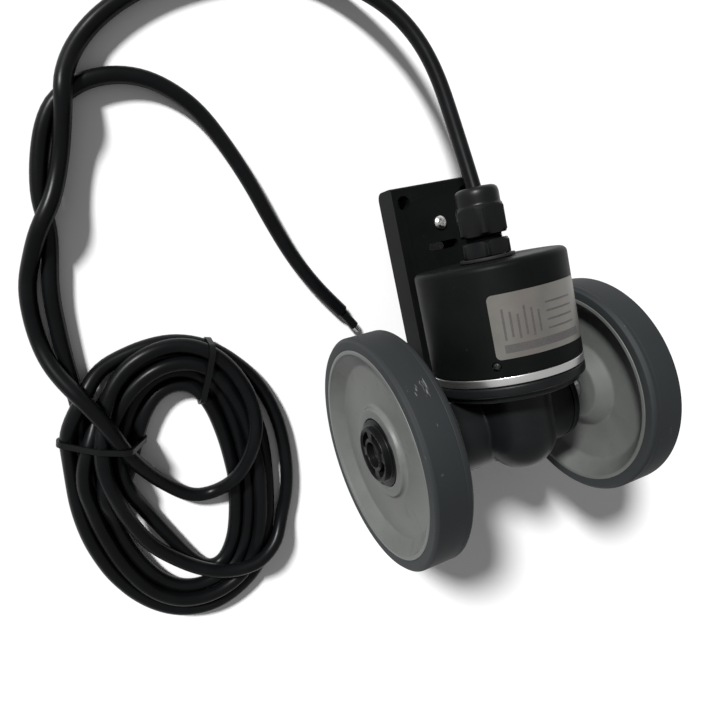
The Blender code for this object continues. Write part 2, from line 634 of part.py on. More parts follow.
def make_encoder(housing, shaft, finishes):
    """Base, bearings, shaft, driven gear, disc, board and sensor, under the cap."""
    seat = ENCODER_BEARING_RADIUS + GAP
    low = RING_LOW - BASE_SPIGOT
    register = (REGISTER_RADIUS, REGISTER_RADIUS - REGISTER_WALL)
    hub = seat + HUB_WALL
    base = turned(
        [
            (seat, low), (WELL_BORE - GAP, low), (WELL_BORE - GAP, RING_LOW), (BODY_RADIUS, RING_LOW),
            (BODY_RADIUS, RING_TOP), (register[0], RING_TOP), (register[0], RING_TOP + REGISTER),
            (register[1], RING_TOP + REGISTER), (register[1], RING_TOP), (hub, RING_TOP), (hub, HUB_HIGH),
            (seat, HUB_HIGH),
        ],
        BODY_SIDES,
        math.pi / BODY_SIDES,
    )
    base = put("encoder_base", base, shaft, finishes["aluminium"])
    inner = SHAFT_RADIUS + GAP
    for name, z in (("lower", BEARING_ONE), ("upper", BEARING_TWO)):
        race = tube(inner, inner + RACE_WALL, z, z + BEARING_WIDTH, RING_SIDES)
        put(f"shaft_{name}_inner_race", race, shaft, finishes["steel"])
        ring = tube(inner + RACE_WALL + GAP, ENCODER_BEARING_RADIUS, z, z + BEARING_WIDTH, RING_SIDES)
        put(f"shaft_{name}_outer_race", ring, shaft, finishes["steel"])
    put("encoder_shaft", rod(SHAFT_RADIUS, SHAFT_FOOT, SHAFT_TOP, RING_SIDES), shaft, finishes["steel"])
    helical_gear("driven_gear", shaft, finishes["brass"], inner, QUARTER + math.pi / GEAR_TEETH, 1)
    hub_tube = tube(inner, DISC_HUB_RADIUS, DISC_HUB_LOW, DISC_HUB_LOW + DISC_HUB, RING_SIDES)
    put("disc_hub", hub_tube, shaft, finishes["aluminium"])
    make_disc(shaft, inner, finishes)
    put("circuit_board", tube(BOARD_HOLE, BOARD_RADIUS, BOARD_LOW, BOARD_LOW + BOARD, 24), shaft, finishes["board"])
    for k, angle in enumerate(POST_ANGLES):
        place = (POST_CIRCLE * math.cos(angle), POST_CIRCLE * math.sin(angle), 0.0)
        put(f"board_post_{k + 1}", rod(POST_RADIUS, RING_TOP + GAP, BOARD_LOW - GAP, 12), shaft, finishes["steel"], place)
    make_sensor(shaft, finishes)
    head = FLANGE_LOW + GAP
    hole_top = RING_LOW + RING + OVERRUN
    for k, angle in enumerate(FLANGE_SCREW_ANGLES):
        place = (FLANGE_SCREW_CIRCLE * math.cos(angle), FLANGE_SCREW_CIRCLE * math.sin(angle), 0.0)
        sink = head - FLANGE_STEP + SMALL_HEAD
        hole = turned(
            [
                (0, FLANGE_LOW - FLANGE_STEP - OVERRUN), (SMALL_HEAD_RADIUS + GAP, FLANGE_LOW - FLANGE_STEP - OVERRUN),
                (SMALL_HEAD_RADIUS + GAP, sink), (SMALL_SCREW_RADIUS + THREAD_GAP, sink),
                (SMALL_SCREW_RADIUS + THREAD_GAP, hole_top), (0, hole_top),
            ],
            10,
        )
        tool = put(f"flange_hole_{k}", hole, shaft, place=place)
        cut(housing, tool)
        cut(base, tool)
        turn = (math.pi, 0.0, 0.0)
        shape = screw(SMALL_HEAD_RADIUS, SMALL_HEAD - GAP, SMALL_SCREW_RADIUS, FLANGE_SCREW_LENGTH + FLANGE_STEP)
        put(f"flange_screw_{k + 1}", shape, shaft, finishes["dark_steel"], (place[0], place[1], sink - GAP), turn)
    return base


def make_disc(shaft, inner, finishes):
    """The code disc, with radial slits round its edge."""
    outline = []
    for k in range(DISC_SLITS):
        for share, radius in ((0.0, 0.0), (0.5, 0.0), (0.5, SLIT_DEPTH), (1.0, SLIT_DEPTH)):
            a = math.tau * (k + share) / DISC_SLITS
            reach = DISC_RADIUS - radius
            outline.append((reach * math.cos(a), reach * math.sin(a)))
    disc = put("code_disc", prism(outline, DISC_LOW, DISC_LOW + DISC), shaft, finishes["disc"])
    cut(disc, put("disc_bore", rod(inner, DISC_LOW - OVERRUN, DISC_LOW + DISC + OVERRUN, RING_SIDES), shaft))


def make_sensor(shaft, finishes):
    """A fork that hangs from the board and straddles the disc's rim."""
    tip = DISC_RADIUS - SENSOR_REACH
    back = DISC_RADIUS + SENSOR_CLEARANCE
    low = DISC_LOW - SENSOR_CLEARANCE
    high = DISC_LOW + DISC + SENSOR_CLEARANCE
    top = BOARD_LOW - GAP
    outline = [
        (tip, low - SENSOR_WALL), (back + SENSOR_WALL, low - SENSOR_WALL), (back + SENSOR_WALL, top), (tip, top),
        (tip, high), (back, high), (back, low), (tip, low),
    ]
    mesh = prism(outline, -SENSOR_HALF_WIDTH, SENSOR_HALF_WIDTH)
    put("light_sensor", mesh, shaft, finishes["black"], turn=(QUARTER, 0.0, 0.0))


def make_cap(base, shaft, finishes):
    outer = BODY_RADIUS
    inner = BODY_RADIUS - CAP_WALL
    hole = GLAND_THREAD_RADIUS + GAP
    fillet = arc((outer - CAP_FILLET, CAP_HIGH - CAP_FILLET), CAP_FILLET, 0.0, QUARTER, 3)
    outline = [(inner, CAP_LOW), (outer, CAP_LOW), *fillet, (hole, CAP_HIGH), (hole, CAP_HIGH - CAP_TOP)]
    cap = turned(outline + [(inner, CAP_HIGH - CAP_TOP)], BODY_SIDES, math.pi / BODY_SIDES)
    cap = put("encoder_cap", cap, shaft, finishes["black"])
    z = CAP_LOW + CAP_SCREW_RISE
    for k, angle in enumerate(CAP_SCREW_ANGLES):
        turn = (0.0, QUARTER, angle)
        start = REGISTER_RADIUS - REGISTER_WALL - OVERRUN
        tool = put(
            f"cap_screw_hole_{k}",
            rod(SMALL_SCREW_RADIUS + THREAD_GAP, start, BODY_RADIUS + OVERRUN, 12),
            shaft,
            place=(0.0, 0.0, z),
            turn=turn,
        )
        cut(cap, tool)
        cut(base, tool)
        reach = BODY_RADIUS - GAP
        shape = rod(SMALL_SCREW_RADIUS, reach - CAP_SCREW_LENGTH, reach, 12)
        put(f"cap_screw_{k + 1}", shape, shaft, finishes["dark_steel"], (0.0, 0.0, z), turn)
    facet = math.tau / BODY_SIDES
    span = LABEL_HALF_FACETS * facet
    steps = round(LABEL_HALF_FACETS * 2)
    ends = (-QUARTER - span, -QUARTER + span)
    near = BODY_RADIUS + LABEL_GAP
    outline = arc((0.0, 0.0), near + LABEL, *ends, steps) + arc((0.0, 0.0), near, *ends[::-1], steps)
    low = CAP_LOW + LABEL_RISE
    put("label_plate", prism(outline, low, low + LABEL_HEIGHT), shaft, finishes["foil"])


def make_gland(shaft, finishes):
    """Washer, threaded body, dome nut and seal on the cap."""
    thread = GLAND_THREAD_RADIUS
    washer = tube(thread + GAP, WASHER_RADIUS, WASHER_LOW, WASHER_LOW + WASHER, GLAND_SIDES)
    put("gland_washer", washer, shaft, finishes["rubber"])
    body = put("gland_body", prism(hexagon(GLAND_FLATS), HEX_LOW, HEX_HIGH), shaft, finishes["nylon"])
    join(body, put("gland_thread_shape", rod(thread, CAP_HIGH - CAP_TOP - GLAND_STUB, NECK_HIGH, GLAND_SIDES), shaft))
    bore = rod(GLAND_BORE, CAP_HIGH - CAP_TOP - GLAND_STUB - OVERRUN, NECK_HIGH + OVERRUN, 20)
    cut(body, put("gland_bore", bore, shaft))
    nut = put("gland_nut", prism(hexagon(GLAND_FLATS), NUT_LOW, NUT_HIGH), shaft, finishes["nylon"])
    dome = [(DOME_RADIUS * radius, NUT_HIGH + DOME * height) for radius, height in DOME_SHARES]
    start = NUT_HIGH - OVERRUN
    join(nut, put("dome_shape", turned([(0, start), (DOME_RADIUS, start), *dome, (0, DOME_HIGH)], GLAND_SIDES), shaft))
    ceiling = DOME_HIGH - NUT_CEILING
    cavity = turned(
        [
            (0, NUT_LOW - OVERRUN), (thread + GAP, NUT_LOW - OVERRUN), (thread + GAP, ceiling - NUT_CEILING),
            (NUT_MOUTH, ceiling), (NUT_MOUTH, DOME_HIGH + OVERRUN), (0, DOME_HIGH + OVERRUN),
        ],
        GLAND_SIDES,
    )
    cut(nut, put("nut_cavity", cavity, shaft))
    put("gland_seal", tube(NUT_MOUTH, thread, NECK_HIGH + GAP, NECK_HIGH + GAP + SEAL, GLAND_SIDES), shaft, finishes["rubber"])


def make_bracket(housing, line, plate, finishes):
    """A thick plate with two bolt holes, a slot and a steel screw, fixed to the housing's pad."""
    back = arc((-EDGE_Z, EDGE_Y), BRACKET_ROUND, math.pi, QUARTER, 4)
    front_y = BRACKET_FRONT + BRACKET_FRONT_ROUND
    front = arc((-BRACKET_TOP + BRACKET_FRONT_ROUND, front_y), BRACKET_FRONT_ROUND, math.pi * 1.5, math.pi, 2)
    outline = front + back + [(BRACKET_LOW, BRACKET_BACK), (BRACKET_LOW, BRACKET_FRONT)]
    bracket = put("mounting_bracket", prism(outline, -BRACKET_HALF, BRACKET_HALF), line, finishes["black"])
    near = -BRACKET_FRONT + OVERRUN
    far = -BRACKET_BACK - OVERRUN
    hole_z = BRACKET_TOP - HOLE_DROP
    for k, x in enumerate((-HOLE_X, HOLE_X)):
        hole = put(f"bolt_hole_{k}", rod(HOLE_RADIUS, far, near, 20), plate, place=(x, hole_z, 0.0))
        pocket = prism(hexagon(NUT_POCKET_FLATS), far, -BRACKET_BACK + NUT_POCKET)
        pocket = put(f"nut_pocket_{k}", pocket, plate, place=(x, hole_z, 0.0), turn=(0.0, 0.0, QUARTER))
        cut(bracket, hole, pocket)
    end = SLOT_HEIGHT / 2
    slot = arc((SLOT_HALF - end, 0.0), end, -QUARTER, QUARTER, 4)
    slot += arc((end - SLOT_HALF, 0.0), end, QUARTER, math.pi * 1.5, 4)
    cut(bracket, put("slot_shape", prism(slot, far, near), plate, place=(0.0, SLOT_RISE, 0.0)))
    blind = rod(STEEL_SCREW_RADIUS + THREAD_GAP, -BRACKET_FRONT - STEEL_SCREW_LENGTH - GAP, near, 14)
    cut(bracket, put("steel_screw_hole", blind, plate, place=(0.0, STEEL_SCREW_RISE, 0.0)))
    shape = screw(STEEL_HEAD_RADIUS, STEEL_HEAD, STEEL_SCREW_RADIUS, STEEL_SCREW_LENGTH, 20)
    seat = (0.0, STEEL_SCREW_RISE, -BRACKET_FRONT + GAP)
    steel = put("bracket_screw", shape, plate, finishes["bright_steel"], seat)
    for k, turn in enumerate((0.0, QUARTER)):
        arm = STEEL_HEAD_RADIUS * SCREW_CROSS_SHARE
        half = SCREW_CROSS / 2
        bar = block((-arm, arm), (-half, half), (STEEL_HEAD / 2, STEEL_HEAD + OVERRUN))
        cut(steel, put(f"screw_cross_{k}", bar, plate, place=seat, turn=(0.0, 0.0, turn)))
    sink = -BRACKET_BACK + FIXING_SINK
    for k, (x, z) in enumerate(((-1, 1), (1, 1), (-1, -1), (1, -1))):
        place = (x * FIXING_X, z * FIXING_RISE, 0.0)
        hole = turned(
            [
                (0, far), (FIXING_HEAD_RADIUS + GAP, far), (FIXING_HEAD_RADIUS + GAP, sink),
                (STEEL_SCREW_RADIUS + THREAD_GAP, sink),
                (STEEL_SCREW_RADIUS + THREAD_GAP, -BRACKET_FRONT + FIXING_REACH + GAP),
                (0, -BRACKET_FRONT + FIXING_REACH + GAP),
            ],
            12,
        )
        tool = put(f"fixing_hole_{k}", hole, plate, place=place)
        cut(bracket, tool)
        cut(housing, tool)
        length = FIXING_REACH - BRACKET_FRONT - sink
        shape = screw(FIXING_HEAD_RADIUS, FIXING_HEAD, STEEL_SCREW_RADIUS, length, 12)
        turn = (math.pi, 0.0, 0.0)
        put(f"bracket_fixing_{k + 1}", shape, plate, finishes["dark_steel"], (place[0], place[1], sink - GAP), turn)


def smooth_route(points, spacing):
    """Its first and last point, and between them points at about that spacing on a smooth curve through the rest."""
    fine = []
    for a, b, c, d in zip(points, points[1:], points[2:], points[3:]):
        for i in range(12):
            t = i / 12
            fine.append(
                (b * 2 + (c - a) * t + (a * 2 - b * 5 + c * 4 - d) * t**2 + (b * 3 - a - c * 3 + d) * t**3) / 2
            )
    fine.append(points[-2])
    travelled = [0.0]
    for a, b in zip(fine, fine[1:]):
        travelled.append(travelled[-1] + (b - a).length)
    count = round(travelled[-1] / spacing)
    chosen = [points[0]]
    k = 0
    for i in range(count + 1):
        want = travelled[-1] * i / count
        while k < len(fine) - 2 and travelled[k + 1] < want:
            k += 1
        share = (want - travelled[k]) / (travelled[k + 1] - travelled[k])
        chosen.append(fine[k].lerp(fine[k + 1], min(1.0, share)))
    return [*chosen, points[-1]]


def length(points):
    return sum((b - a).length for a, b in zip(points, points[1:]))


def cable(name, points, radius, material, resolution):
    """A curve object of that radius on one POLY spline, with filled caps."""
    curve = bpy.data.curves.new(name, "CURVE")
    curve.dimensions = "3D"
    curve.bevel_depth = radius
    curve.bevel_resolution = resolution
    curve.use_fill_caps = True
    spline = curve.splines.new("POLY")
    spline.points.add(len(points) - 1)
    for slot, point in zip(spline.points, points):
        slot.co = (*point, 1.0)
    obj = bpy.data.objects.new(name, curve)
    bpy.context.scene.collection.objects.link(obj)
    curve.materials.append(material)
    return obj


def oval(turns):
    """Arc centre, arc radius and outward direction on the coil's outermost turn, an oval of four arcs."""
    quarter, share = divmod(turns * 4, 1)
    rising = quarter % 2 == 0
    share = share if rising else 1 - share
    if share < COIL_SIDE_SHARE:
        angle = COIL_SIDE_ARC * share / COIL_SIDE_SHARE
    else:
        end = (share - COIL_SIDE_SHARE) / (1 - COIL_SIDE_SHARE)
        angle = COIL_SIDE_ARC + (QUARTER - COIL_SIDE_ARC) * end
    outward = quarter * QUARTER + (angle if rising else QUARTER - angle)
    out = Vector((math.cos(outward), math.sin(outward), 0.0))
    if share < COIL_SIDE_SHARE:
        reach = COIL_END_Y / math.sin(COIL_SIDE_ARC)
        centre = Vector((-math.copysign(reach * math.cos(COIL_SIDE_ARC), out.x), 0.0, 0.0))
        return centre, COIL_END_RADIUS + reach, out
    return Vector((0.0, math.copysign(COIL_END_Y, out.y), 0.0)), COIL_END_RADIUS, out


def coil_point(turns):
    """The coil's centreline: it spirals in through the lower layer and out again through the upper."""
    middle = COIL_TURNS / 2
    inset = COIL_PITCH * (middle - abs(turns - middle))
    climb = min(1.0, max(0.0, (turns - middle) / CLIMB_TURNS + 0.5))
    centre, radius, out = oval(COIL_START + turns)
    return Vector((COIL_X, COIL_Y, COIL_FLOOR + COIL_LAYER * climb)) + centre + out * (radius - inset)


def least_gap(points, radius):
    """The least gap of a tube to itself, from its points, leaving out its near neighbours."""
    closest = 1.0
    for i, a in enumerate(points):
        for b, c in zip(points[i + 6 :], points[i + 7 :]):
            run = c - b
            share = min(1.0, max(0.0, (a - b).dot(run) / run.length_squared))
            closest = min(closest, (a - b - run * share).length)
    return closest - 2 * radius


def make_tie(name, turns, finishes):
    """A band round the coil's turns."""
    centre, radius, out = oval(turns)
    deepest = COIL_PITCH * COIL_TURNS / 2
    middle = Vector((COIL_X, COIL_Y, COIL_FLOOR + COIL_LAYER / 2)) + centre + out * (radius - deepest / 2)
    half = deepest / 2 + CABLE_RADIUS + TIE_GAP
    tall = COIL_LAYER / 2 + CABLE_RADIUS + TIE_GAP
    band = block((-half - TIE, half + TIE), (-tall - TIE, tall + TIE), (-TIE_WIDTH / 2, TIE_WIDTH / 2))
    inside = block((-half, half), (-tall, tall), (-TIE_WIDTH, TIE_WIDTH))
    turn = (QUARTER, 0.0, math.atan2(out.y, out.x))
    tie = put(name, band, None, finishes["nylon"], middle, turn)
    cut(tie, put(name + "_inside", inside, None, place=middle, turn=turn))


def make_cable(stance, finishes):
    """The cable from the gland to its stripped end, in the lie it was left in."""
    mouth = stance @ Vector((0.0, -GEAR_OFFSET, DOME_HIGH - CABLE_INSIDE))
    leaving = stance @ Vector((0.0, -GEAR_OFFSET, DOME_HIGH + CABLE_INSIDE))
    coil = [coil_point(i / COIL_POINTS) for i in range(round(COIL_TURNS * COIL_POINTS) + 1)]
    print(f"coil: least gap to itself {least_gap(coil, CABLE_RADIUS) * 1000:.2f} mm")
    cable("cable_coil", coil, CABLE_RADIUS, finishes["cable"], 1)
    into = (coil[1] - coil[0]).normalized()
    out_of = (coil[-1] - coil[-2]).normalized()
    straight = 2 * CABLE_RADIUS
    before = coil[0] - into * GAP
    after = coil[-1] + out_of * GAP
    run = [mouth, leaving, *(Vector(p) * MM for p in RUN_ROUTE), before - into * straight, before]
    end = Vector(TAIL_ROUTE[-1]) * MM
    tail = [after, after + out_of * straight, *(Vector(p) * MM for p in TAIL_ROUTE)]
    run = smooth_route(run, POINT_SPACING)
    tail = smooth_route(tail, POINT_SPACING)
    cable("cable_run", run, CABLE_RADIUS, finishes["cable"], 2)
    cable("cable_tail", tail, CABLE_RADIUS, finishes["cable"], 2)
    print(f"cable: {length(run):.3f} + {length(coil):.3f} + {length(tail):.3f} m")
    away = (Vector(SLEEVE_END) * MM - end).normalized()
    sleeve = [end + away * GAP, Vector(SLEEVE_END) * MM]
    cable("cable_end_sleeve", sleeve, SLEEVE_RADIUS, finishes["nylon"], 2)
    for name, turns in TIE_TURNS.items():
        make_tie(name, turns, finishes)


def main():
    clear_scene()
    finishes = {
        "rubber": finish("tyre rubber", (0.075, 0.085, 0.09), 0.75),
        "rim": finish("grey rim plastic", (0.5, 0.52, 0.5), 0.5),
        "black": finish("black plastic", (0.02, 0.021, 0.021), 0.45),
        "nylon": finish("black nylon", (0.025, 0.026, 0.026), 0.4),
        "cable": finish("cable sheath", (0.03, 0.032, 0.032), 0.45),
        "aluminium": finish("turned aluminium", (0.72, 0.72, 0.72), 0.3, 1.0),
        "foil": finish("silver foil", (0.7, 0.7, 0.68), 0.35, 0.6),
        "steel": finish("steel", (0.55, 0.55, 0.56), 0.35, 1.0),
        "bright_steel": finish("plated steel", (0.75, 0.75, 0.74), 0.25, 1.0),
        "dark_steel": finish("blackened steel", (0.06, 0.06, 0.06), 0.4, 0.8),
        "brass": finish("brass", (0.62, 0.45, 0.16), 0.35, 1.0),
        "board": finish("circuit board", (0.02, 0.13, 0.05), 0.5),
        "disc": finish("etched disc", (0.35, 0.36, 0.38), 0.3, 0.8),
    }
    stance = frame("stance", None, (0.0, AXLE_Y, WHEEL_RADIUS), (-LEAN, 0.0, 0.0))
    line = frame("axle_line", stance, turn=(0.0, QUARTER, 0.0))
    shaft = frame("shaft_line", stance, (0.0, -GEAR_OFFSET, 0.0))
    plate = frame("bracket_plane", stance, turn=(QUARTER, 0.0, 0.0))
    holes = make_axle(line, finishes)
    housing = make_housing(stance, line, shaft, plate, holes, finishes)
    base = make_encoder(housing, shaft, finishes)
    make_cap(base, shaft, finishes)
    make_gland(shaft, finishes)
    make_bracket(housing, line, plate, finishes)
    for boolean in housing.modifiers:
        boolean.solver = "MANIFOLD"
    bpy.context.view_layer.update()
    make_cable(stance.matrix_world, finishes)


main()
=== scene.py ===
"""The looks of a wheel encoder, built round its fixed frame.

Two rubber-tyred wheels on one axle, a cast gearbox, a capped encoder with a cable gland, a drilled
bracket and a cable that lies in a tied coil. Everything is drawn in millimetres, and `finished` and
`tube_curve` bring it to metres. Turned pieces are drawn in the body's own frame, with X along the
axle and Z along the encoder's shaft, and then laid down by STANCE.
"""

import json
import math
from types import SimpleNamespace

import bmesh
import bpy
import numpy as np
from mathutils import Euler, Matrix, Vector, geometry


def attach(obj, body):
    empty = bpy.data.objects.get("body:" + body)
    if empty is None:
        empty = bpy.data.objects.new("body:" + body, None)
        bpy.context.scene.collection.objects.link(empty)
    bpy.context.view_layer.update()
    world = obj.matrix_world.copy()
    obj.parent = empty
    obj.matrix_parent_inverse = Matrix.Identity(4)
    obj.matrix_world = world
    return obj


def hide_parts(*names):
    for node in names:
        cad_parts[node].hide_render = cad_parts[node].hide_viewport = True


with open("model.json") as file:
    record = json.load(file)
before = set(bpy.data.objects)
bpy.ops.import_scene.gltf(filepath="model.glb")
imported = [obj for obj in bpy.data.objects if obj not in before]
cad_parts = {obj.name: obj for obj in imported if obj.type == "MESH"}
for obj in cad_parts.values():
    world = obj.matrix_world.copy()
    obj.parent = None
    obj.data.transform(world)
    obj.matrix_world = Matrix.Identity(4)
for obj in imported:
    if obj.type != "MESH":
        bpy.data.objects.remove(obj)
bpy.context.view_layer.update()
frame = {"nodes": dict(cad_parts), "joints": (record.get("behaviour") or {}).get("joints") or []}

bl_info = {
    "name": "Wheel encoder looks",
    "version": (1, 0, 0),
    "blender": (4, 5, 0),
    "location": "View3D > Sidebar > Wheel encoder",
    "description": "Builds the visible surface of a wheel encoder round its fixed frame",
    "category": "Add Mesh",
}

MM = 0.001
MM_IN_CM = 10
QUARTER = math.pi / 2
OVER = 2  # how far a cutter goes past the face that it cuts, in millimetres
SMOOTH_ANGLE = math.radians(35)


def at(x, y, z=0.0):
    return Matrix.Translation((x, y, z))


def turned(angle, axis="Z"):
    return Matrix.Rotation(angle, 4, axis)


# Where the body lies, from its two joints
JOINTS = {joint["name"]: joint for joint in frame["joints"]}
ALONG = Vector(JOINTS["axle_spin"]["axis"])
UP = Vector(JOINTS["shaft_spin"]["axis"])
STANCE = Matrix((ALONG, UP.cross(ALONG), UP)).transposed().to_4x4()
STANCE.translation = Vector(JOINTS["axle_spin"]["pos_m"]) / MM
GEAR_OFFSET = -(STANCE.inverted() @ (Vector(JOINTS["shaft_spin"]["pos_m"]) / MM)).y
SHAFT = STANCE @ at(0.0, -GEAR_OFFSET)
PLATE = STANCE @ turned(QUARTER, "X")
WHEEL_PLACES = {"left": STANCE @ turned(-QUARTER, "Y"), "right": STANCE @ turned(QUARTER, "Y")}

# The cable's route where it isn't coiled, listed in millimetres
RUN_ROUTE = [
    (-0.6, 74, 32), (-1.6, 85.5, 29), (-3, 95, 26), (-6, 105, 21.8), (-12.5, 115, 16.8),
    (-23, 123, 11.6), (-36.5, 128, 7.2), (-52, 130, 4), (-68, 129.5, 2.6), (-84, 126, 2.8),
    (-98, 119.5, 4.2), (-107.5, 111.5, 6.6), (-112.6, 103, 8.2), (-115, 95, 8.4), (-117.2, 87, 8.3),
    (-120.3, 79, 8.3), (-124, 72.2, 8.4), (-128.3, 65, 8.4), (-132.6, 57, 7.4),
]
# Down across the coil, through the loose strand in its hole, then round the turns of the coil
COIL_ROUTE = [
    (-136.5, 48.2, 5), (-137.8, 36.1, 5), (-137, 26.8, 9), (-134.4, 19.9, 13), (-130.9, 14, 16),
    (-128.1, 8.3, 17), (-125.4, 1.1, 17), (-122.7, -7.1, 16), (-119.1, -15.2, 13), (-114.2, -24.2, 9),
    (-108.4, -31.8, 6), (-102, -36.6, 5), (-95, -36.8, 6), (-87.5, -32.1, 9), (-82.7, -25.1, 12),
    (-79.7, -17.6, 13.5), (-78, -9.9, 13.5), (-78.4, -1.9, 13.5), (-80.6, 5.2, 13.5), (-84.1, 11.9, 13),
    (-88.8, 17.4, 13), (-93.9, 20.5, 12), (-99.8, 22.2, 11), (-105.1, 22.2, 11), (-110.4, 20.9, 11),
    (-115.3, 18.2, 11), (-120.2, 14.1, 11), (-124.2, 8.8, 11), (-127.5, 2.5, 11), (-129.8, -3.7, 13),
    (-131, -11.2, 13), (-130.6, -18.7, 13), (-129.1, -26.9, 13), (-126.2, -35.7, 12), (-122.1, -45.9, 12),
    (-116, -54, 12), (-108.6, -61.7, 12), (-100.4, -66.7, 12), (-91.6, -68.2, 11), (-83.1, -66, 9),
    (-75.5, -57.9, 6), (-70.9, -49, 5), (-68.4, -38.9, 5), (-67.7, -27.2, 5), (-68.6, -15.7, 5),
    (-71.2, -5.7, 5), (-75.2, 3.1, 6), (-80.4, 9.3, 8), (-85.9, 14.8, 9), (-91.9, 18.5, 9),
    (-97.9, 20.5, 8), (-104.1, 21.1, 7), (-110.3, 21.4, 7), (-116.2, 20.2, 7), (-121.2, 19.6, 7),
    (-125.7, 16.4, 8), (-129.2, 12, 8), (-132.8, 5.4, 7), (-135.8, -3.4, 5), (-138, -12.6, 3.5),
    (-139.4, -23.7, 3), (-139.5, -35.6, 3), (-137.9, -47.8, 3), (-134.2, -59.7, 3), (-127.9, -70.7, 3),
    (-119.5, -78.9, 3), (-110.8, -82.7, 3), (-102.2, -83, 3), (-93.2, -79.6, 3), (-85.7, -73.5, 3),
    (-81.6, -64, 3), (-79.4, -53.5, 3), (-78, -42.9, 3), (-77.2, -31.2, 3), (-77.4, -19.4, 4),
    (-78.8, -8.1, 4), (-82, 2.1, 5), (-86.6, 9.7, 5), (-91.7, 14.1, 4), (-97.8, 16.5, 3),
    (-104.2, 17.5, 3), (-110.3, 16, 3), (-116.1, 13, 3), (-121.6, 8.9, 4), (-126.5, 3.3, 5),
    (-130.8, -2.4, 7), (-134.6, -11.6, 8), (-136, -22.3, 8), (-135.7, -34.1, 8), (-133.8, -45.5, 8),
    (-130, -56.4, 8), (-124.2, -66.1, 8), (-117.2, -72.1, 8), (-108.9, -75.2, 8), (-101.3, -75.1, 8),
    (-93.3, -71.8, 8), (-87, -65.4, 8), (-83.4, -55.7, 8), (-81.2, -45.5, 8), (-79.9, -35.4, 8),
    (-79.3, -25.2, 8), (-80.3, -14.4, 9), (-82.5, -4.4, 9), (-85.7, 4.5, 10), (-89.9, 11.1, 10),
    (-94.7, 14.6, 9), (-100.1, 16.2, 8), (-105.6, 16.3, 8), (-111.1, 14.3, 8), (-116.4, 10.6, 8),
    (-121.5, 5.8, 8), (-125.7, 0, 8), (-129.1, -8, 8), (-131.2, -16.5, 8), (-132.1, -27.5, 7),
    (-131.1, -39.5, 5), (-128.2, -52.2, 4), (-123.2, -63.9, 3), (-116.1, -71.7, 3), (-107.9, -74.2, 3),
    (-100, -73.2, 3), (-92.7, -69.9, 3), (-87.6, -61.5, 3), (-85, -51.3, 3), (-83.7, -40.3, 4),
    (-83.1, -28.6, 5), (-83.6, -17.3, 6), (-85.2, -6.6, 7), (-88.6, 3.1, 8), (-92.8, 9.5, 8),
    (-98.1, 12.5, 7), (-103.8, 12.3, 6), (-109.5, 10, 6), (-114.4, 5.7, 6), (-118.3, -0.3, 6),
    (-122, -6.4, 7), (-124.7, -12.1, 8), (-125.2, -19.5, 8), (-123.6, -27.2, 7), (-120.3, -36.5, 5),
    (-116.7, -44.8, 4), (-113, -53.4, 3), (-109.1, -61.3, 3), (-103.9, -67.2, 3), (-97.8, -67.6, 3),
    (-92.5, -61, 4), (-89.7, -50.4, 5), (-88, -39.7, 6), (-87.1, -29.1, 7), (-87.3, -18.4, 8),
    (-88.8, -8.9, 8), (-91, -0.6, 8), (-94.2, 5.6, 6), (-98.3, 8.3, 4), (-103.4, 8.7, 3),
    (-108.8, 6.9, 3), (-113.5, 3.2, 3), (-117, -2.3, 3), (-119.8, -9.1, 2.6), (-121.7, -15.7, 2.6),
    (-124.1, -21.9, 2.6), (-127.3, -25.8, 2.6), (-131.1, -26.4, 2.6), (-133.8, -22.9, 2.6), (-134.4, -17.3, 2.6),
    (-133.4, -10.8, 2.6), (-132.2, -3.1, 2.6), (-131.4, 5, 2.6), (-131.4, 12.4, 2.6), (-131.7, 19.7, 2.6),
    (-131.8, 27.5, 2.6), (-131.4, 35.6, 2.6), (-130.9, 44.3, 2.6),
]
TAIL_ROUTE = [
    (-129.8, 50.5, 2.6), (-128, 58.5, 2.6), (-126.8, 66, 2.6), (-126.3, 72.5, 2.6), (-125.1, 79.5, 2.6),
    (-122.9, 86.5, 2.6), (-119.6, 93.8, 2.6), (-115, 99.4, 2.6), (-108.8, 102.8, 2.6),
    (-101.5, 103.8, 2.6), (-93.5, 103, 2.6), (-86, 99.8, 2.6), (-77.5, 92.6, 2.6), (-70.6, 81.5, 2.6),
    (-64.3, 68.3, 2.6), (-59.2, 54.9, 2.6), (-53.2, 41, 2.6), (-45.8, 28.6, 2.6), (-38, 18.2, 2.6),
]
SLEEVE_END = Vector((-33.6, 11.4, 2.6))

# Each tie's two ends on the ground plan, across the strands that it binds
TIES = {
    "tie_left": ((-140.5, -1.3), (-115.2, -8.9)),
    "tie_right": ((-87, 22.5), (-94.1, -1)),
}

# Heights in the body's own frame, along the encoder's shaft, in millimetres
FLANGE = (12.4, 14.6, 17.8)
RING_HEIGHTS = (18.1, 20.6)
CAP_LOW = 20.9
WASHER_HEIGHTS = (55.3, 56.2)
HEX_HEIGHTS = (56.5, 61.4)
NUT_HEIGHTS = (63.0, 72.5)
DOME_HIGH = 78.6
THREAD_RADIUS = 6.0
WELL_DEPTH = 16.4


# ---------------------------------------------------------------- sizes and colours


def length(name, description, default):
    return bpy.props.FloatProperty(
        name=name, description=description, default=default * MM, unit="LENGTH", subtype="DISTANCE"
    )


def colour(name, description, default):
    return bpy.props.FloatVectorProperty(
        name=name, description=description, default=default, size=3, min=0.0, max=1.0, subtype="COLOR"
    )


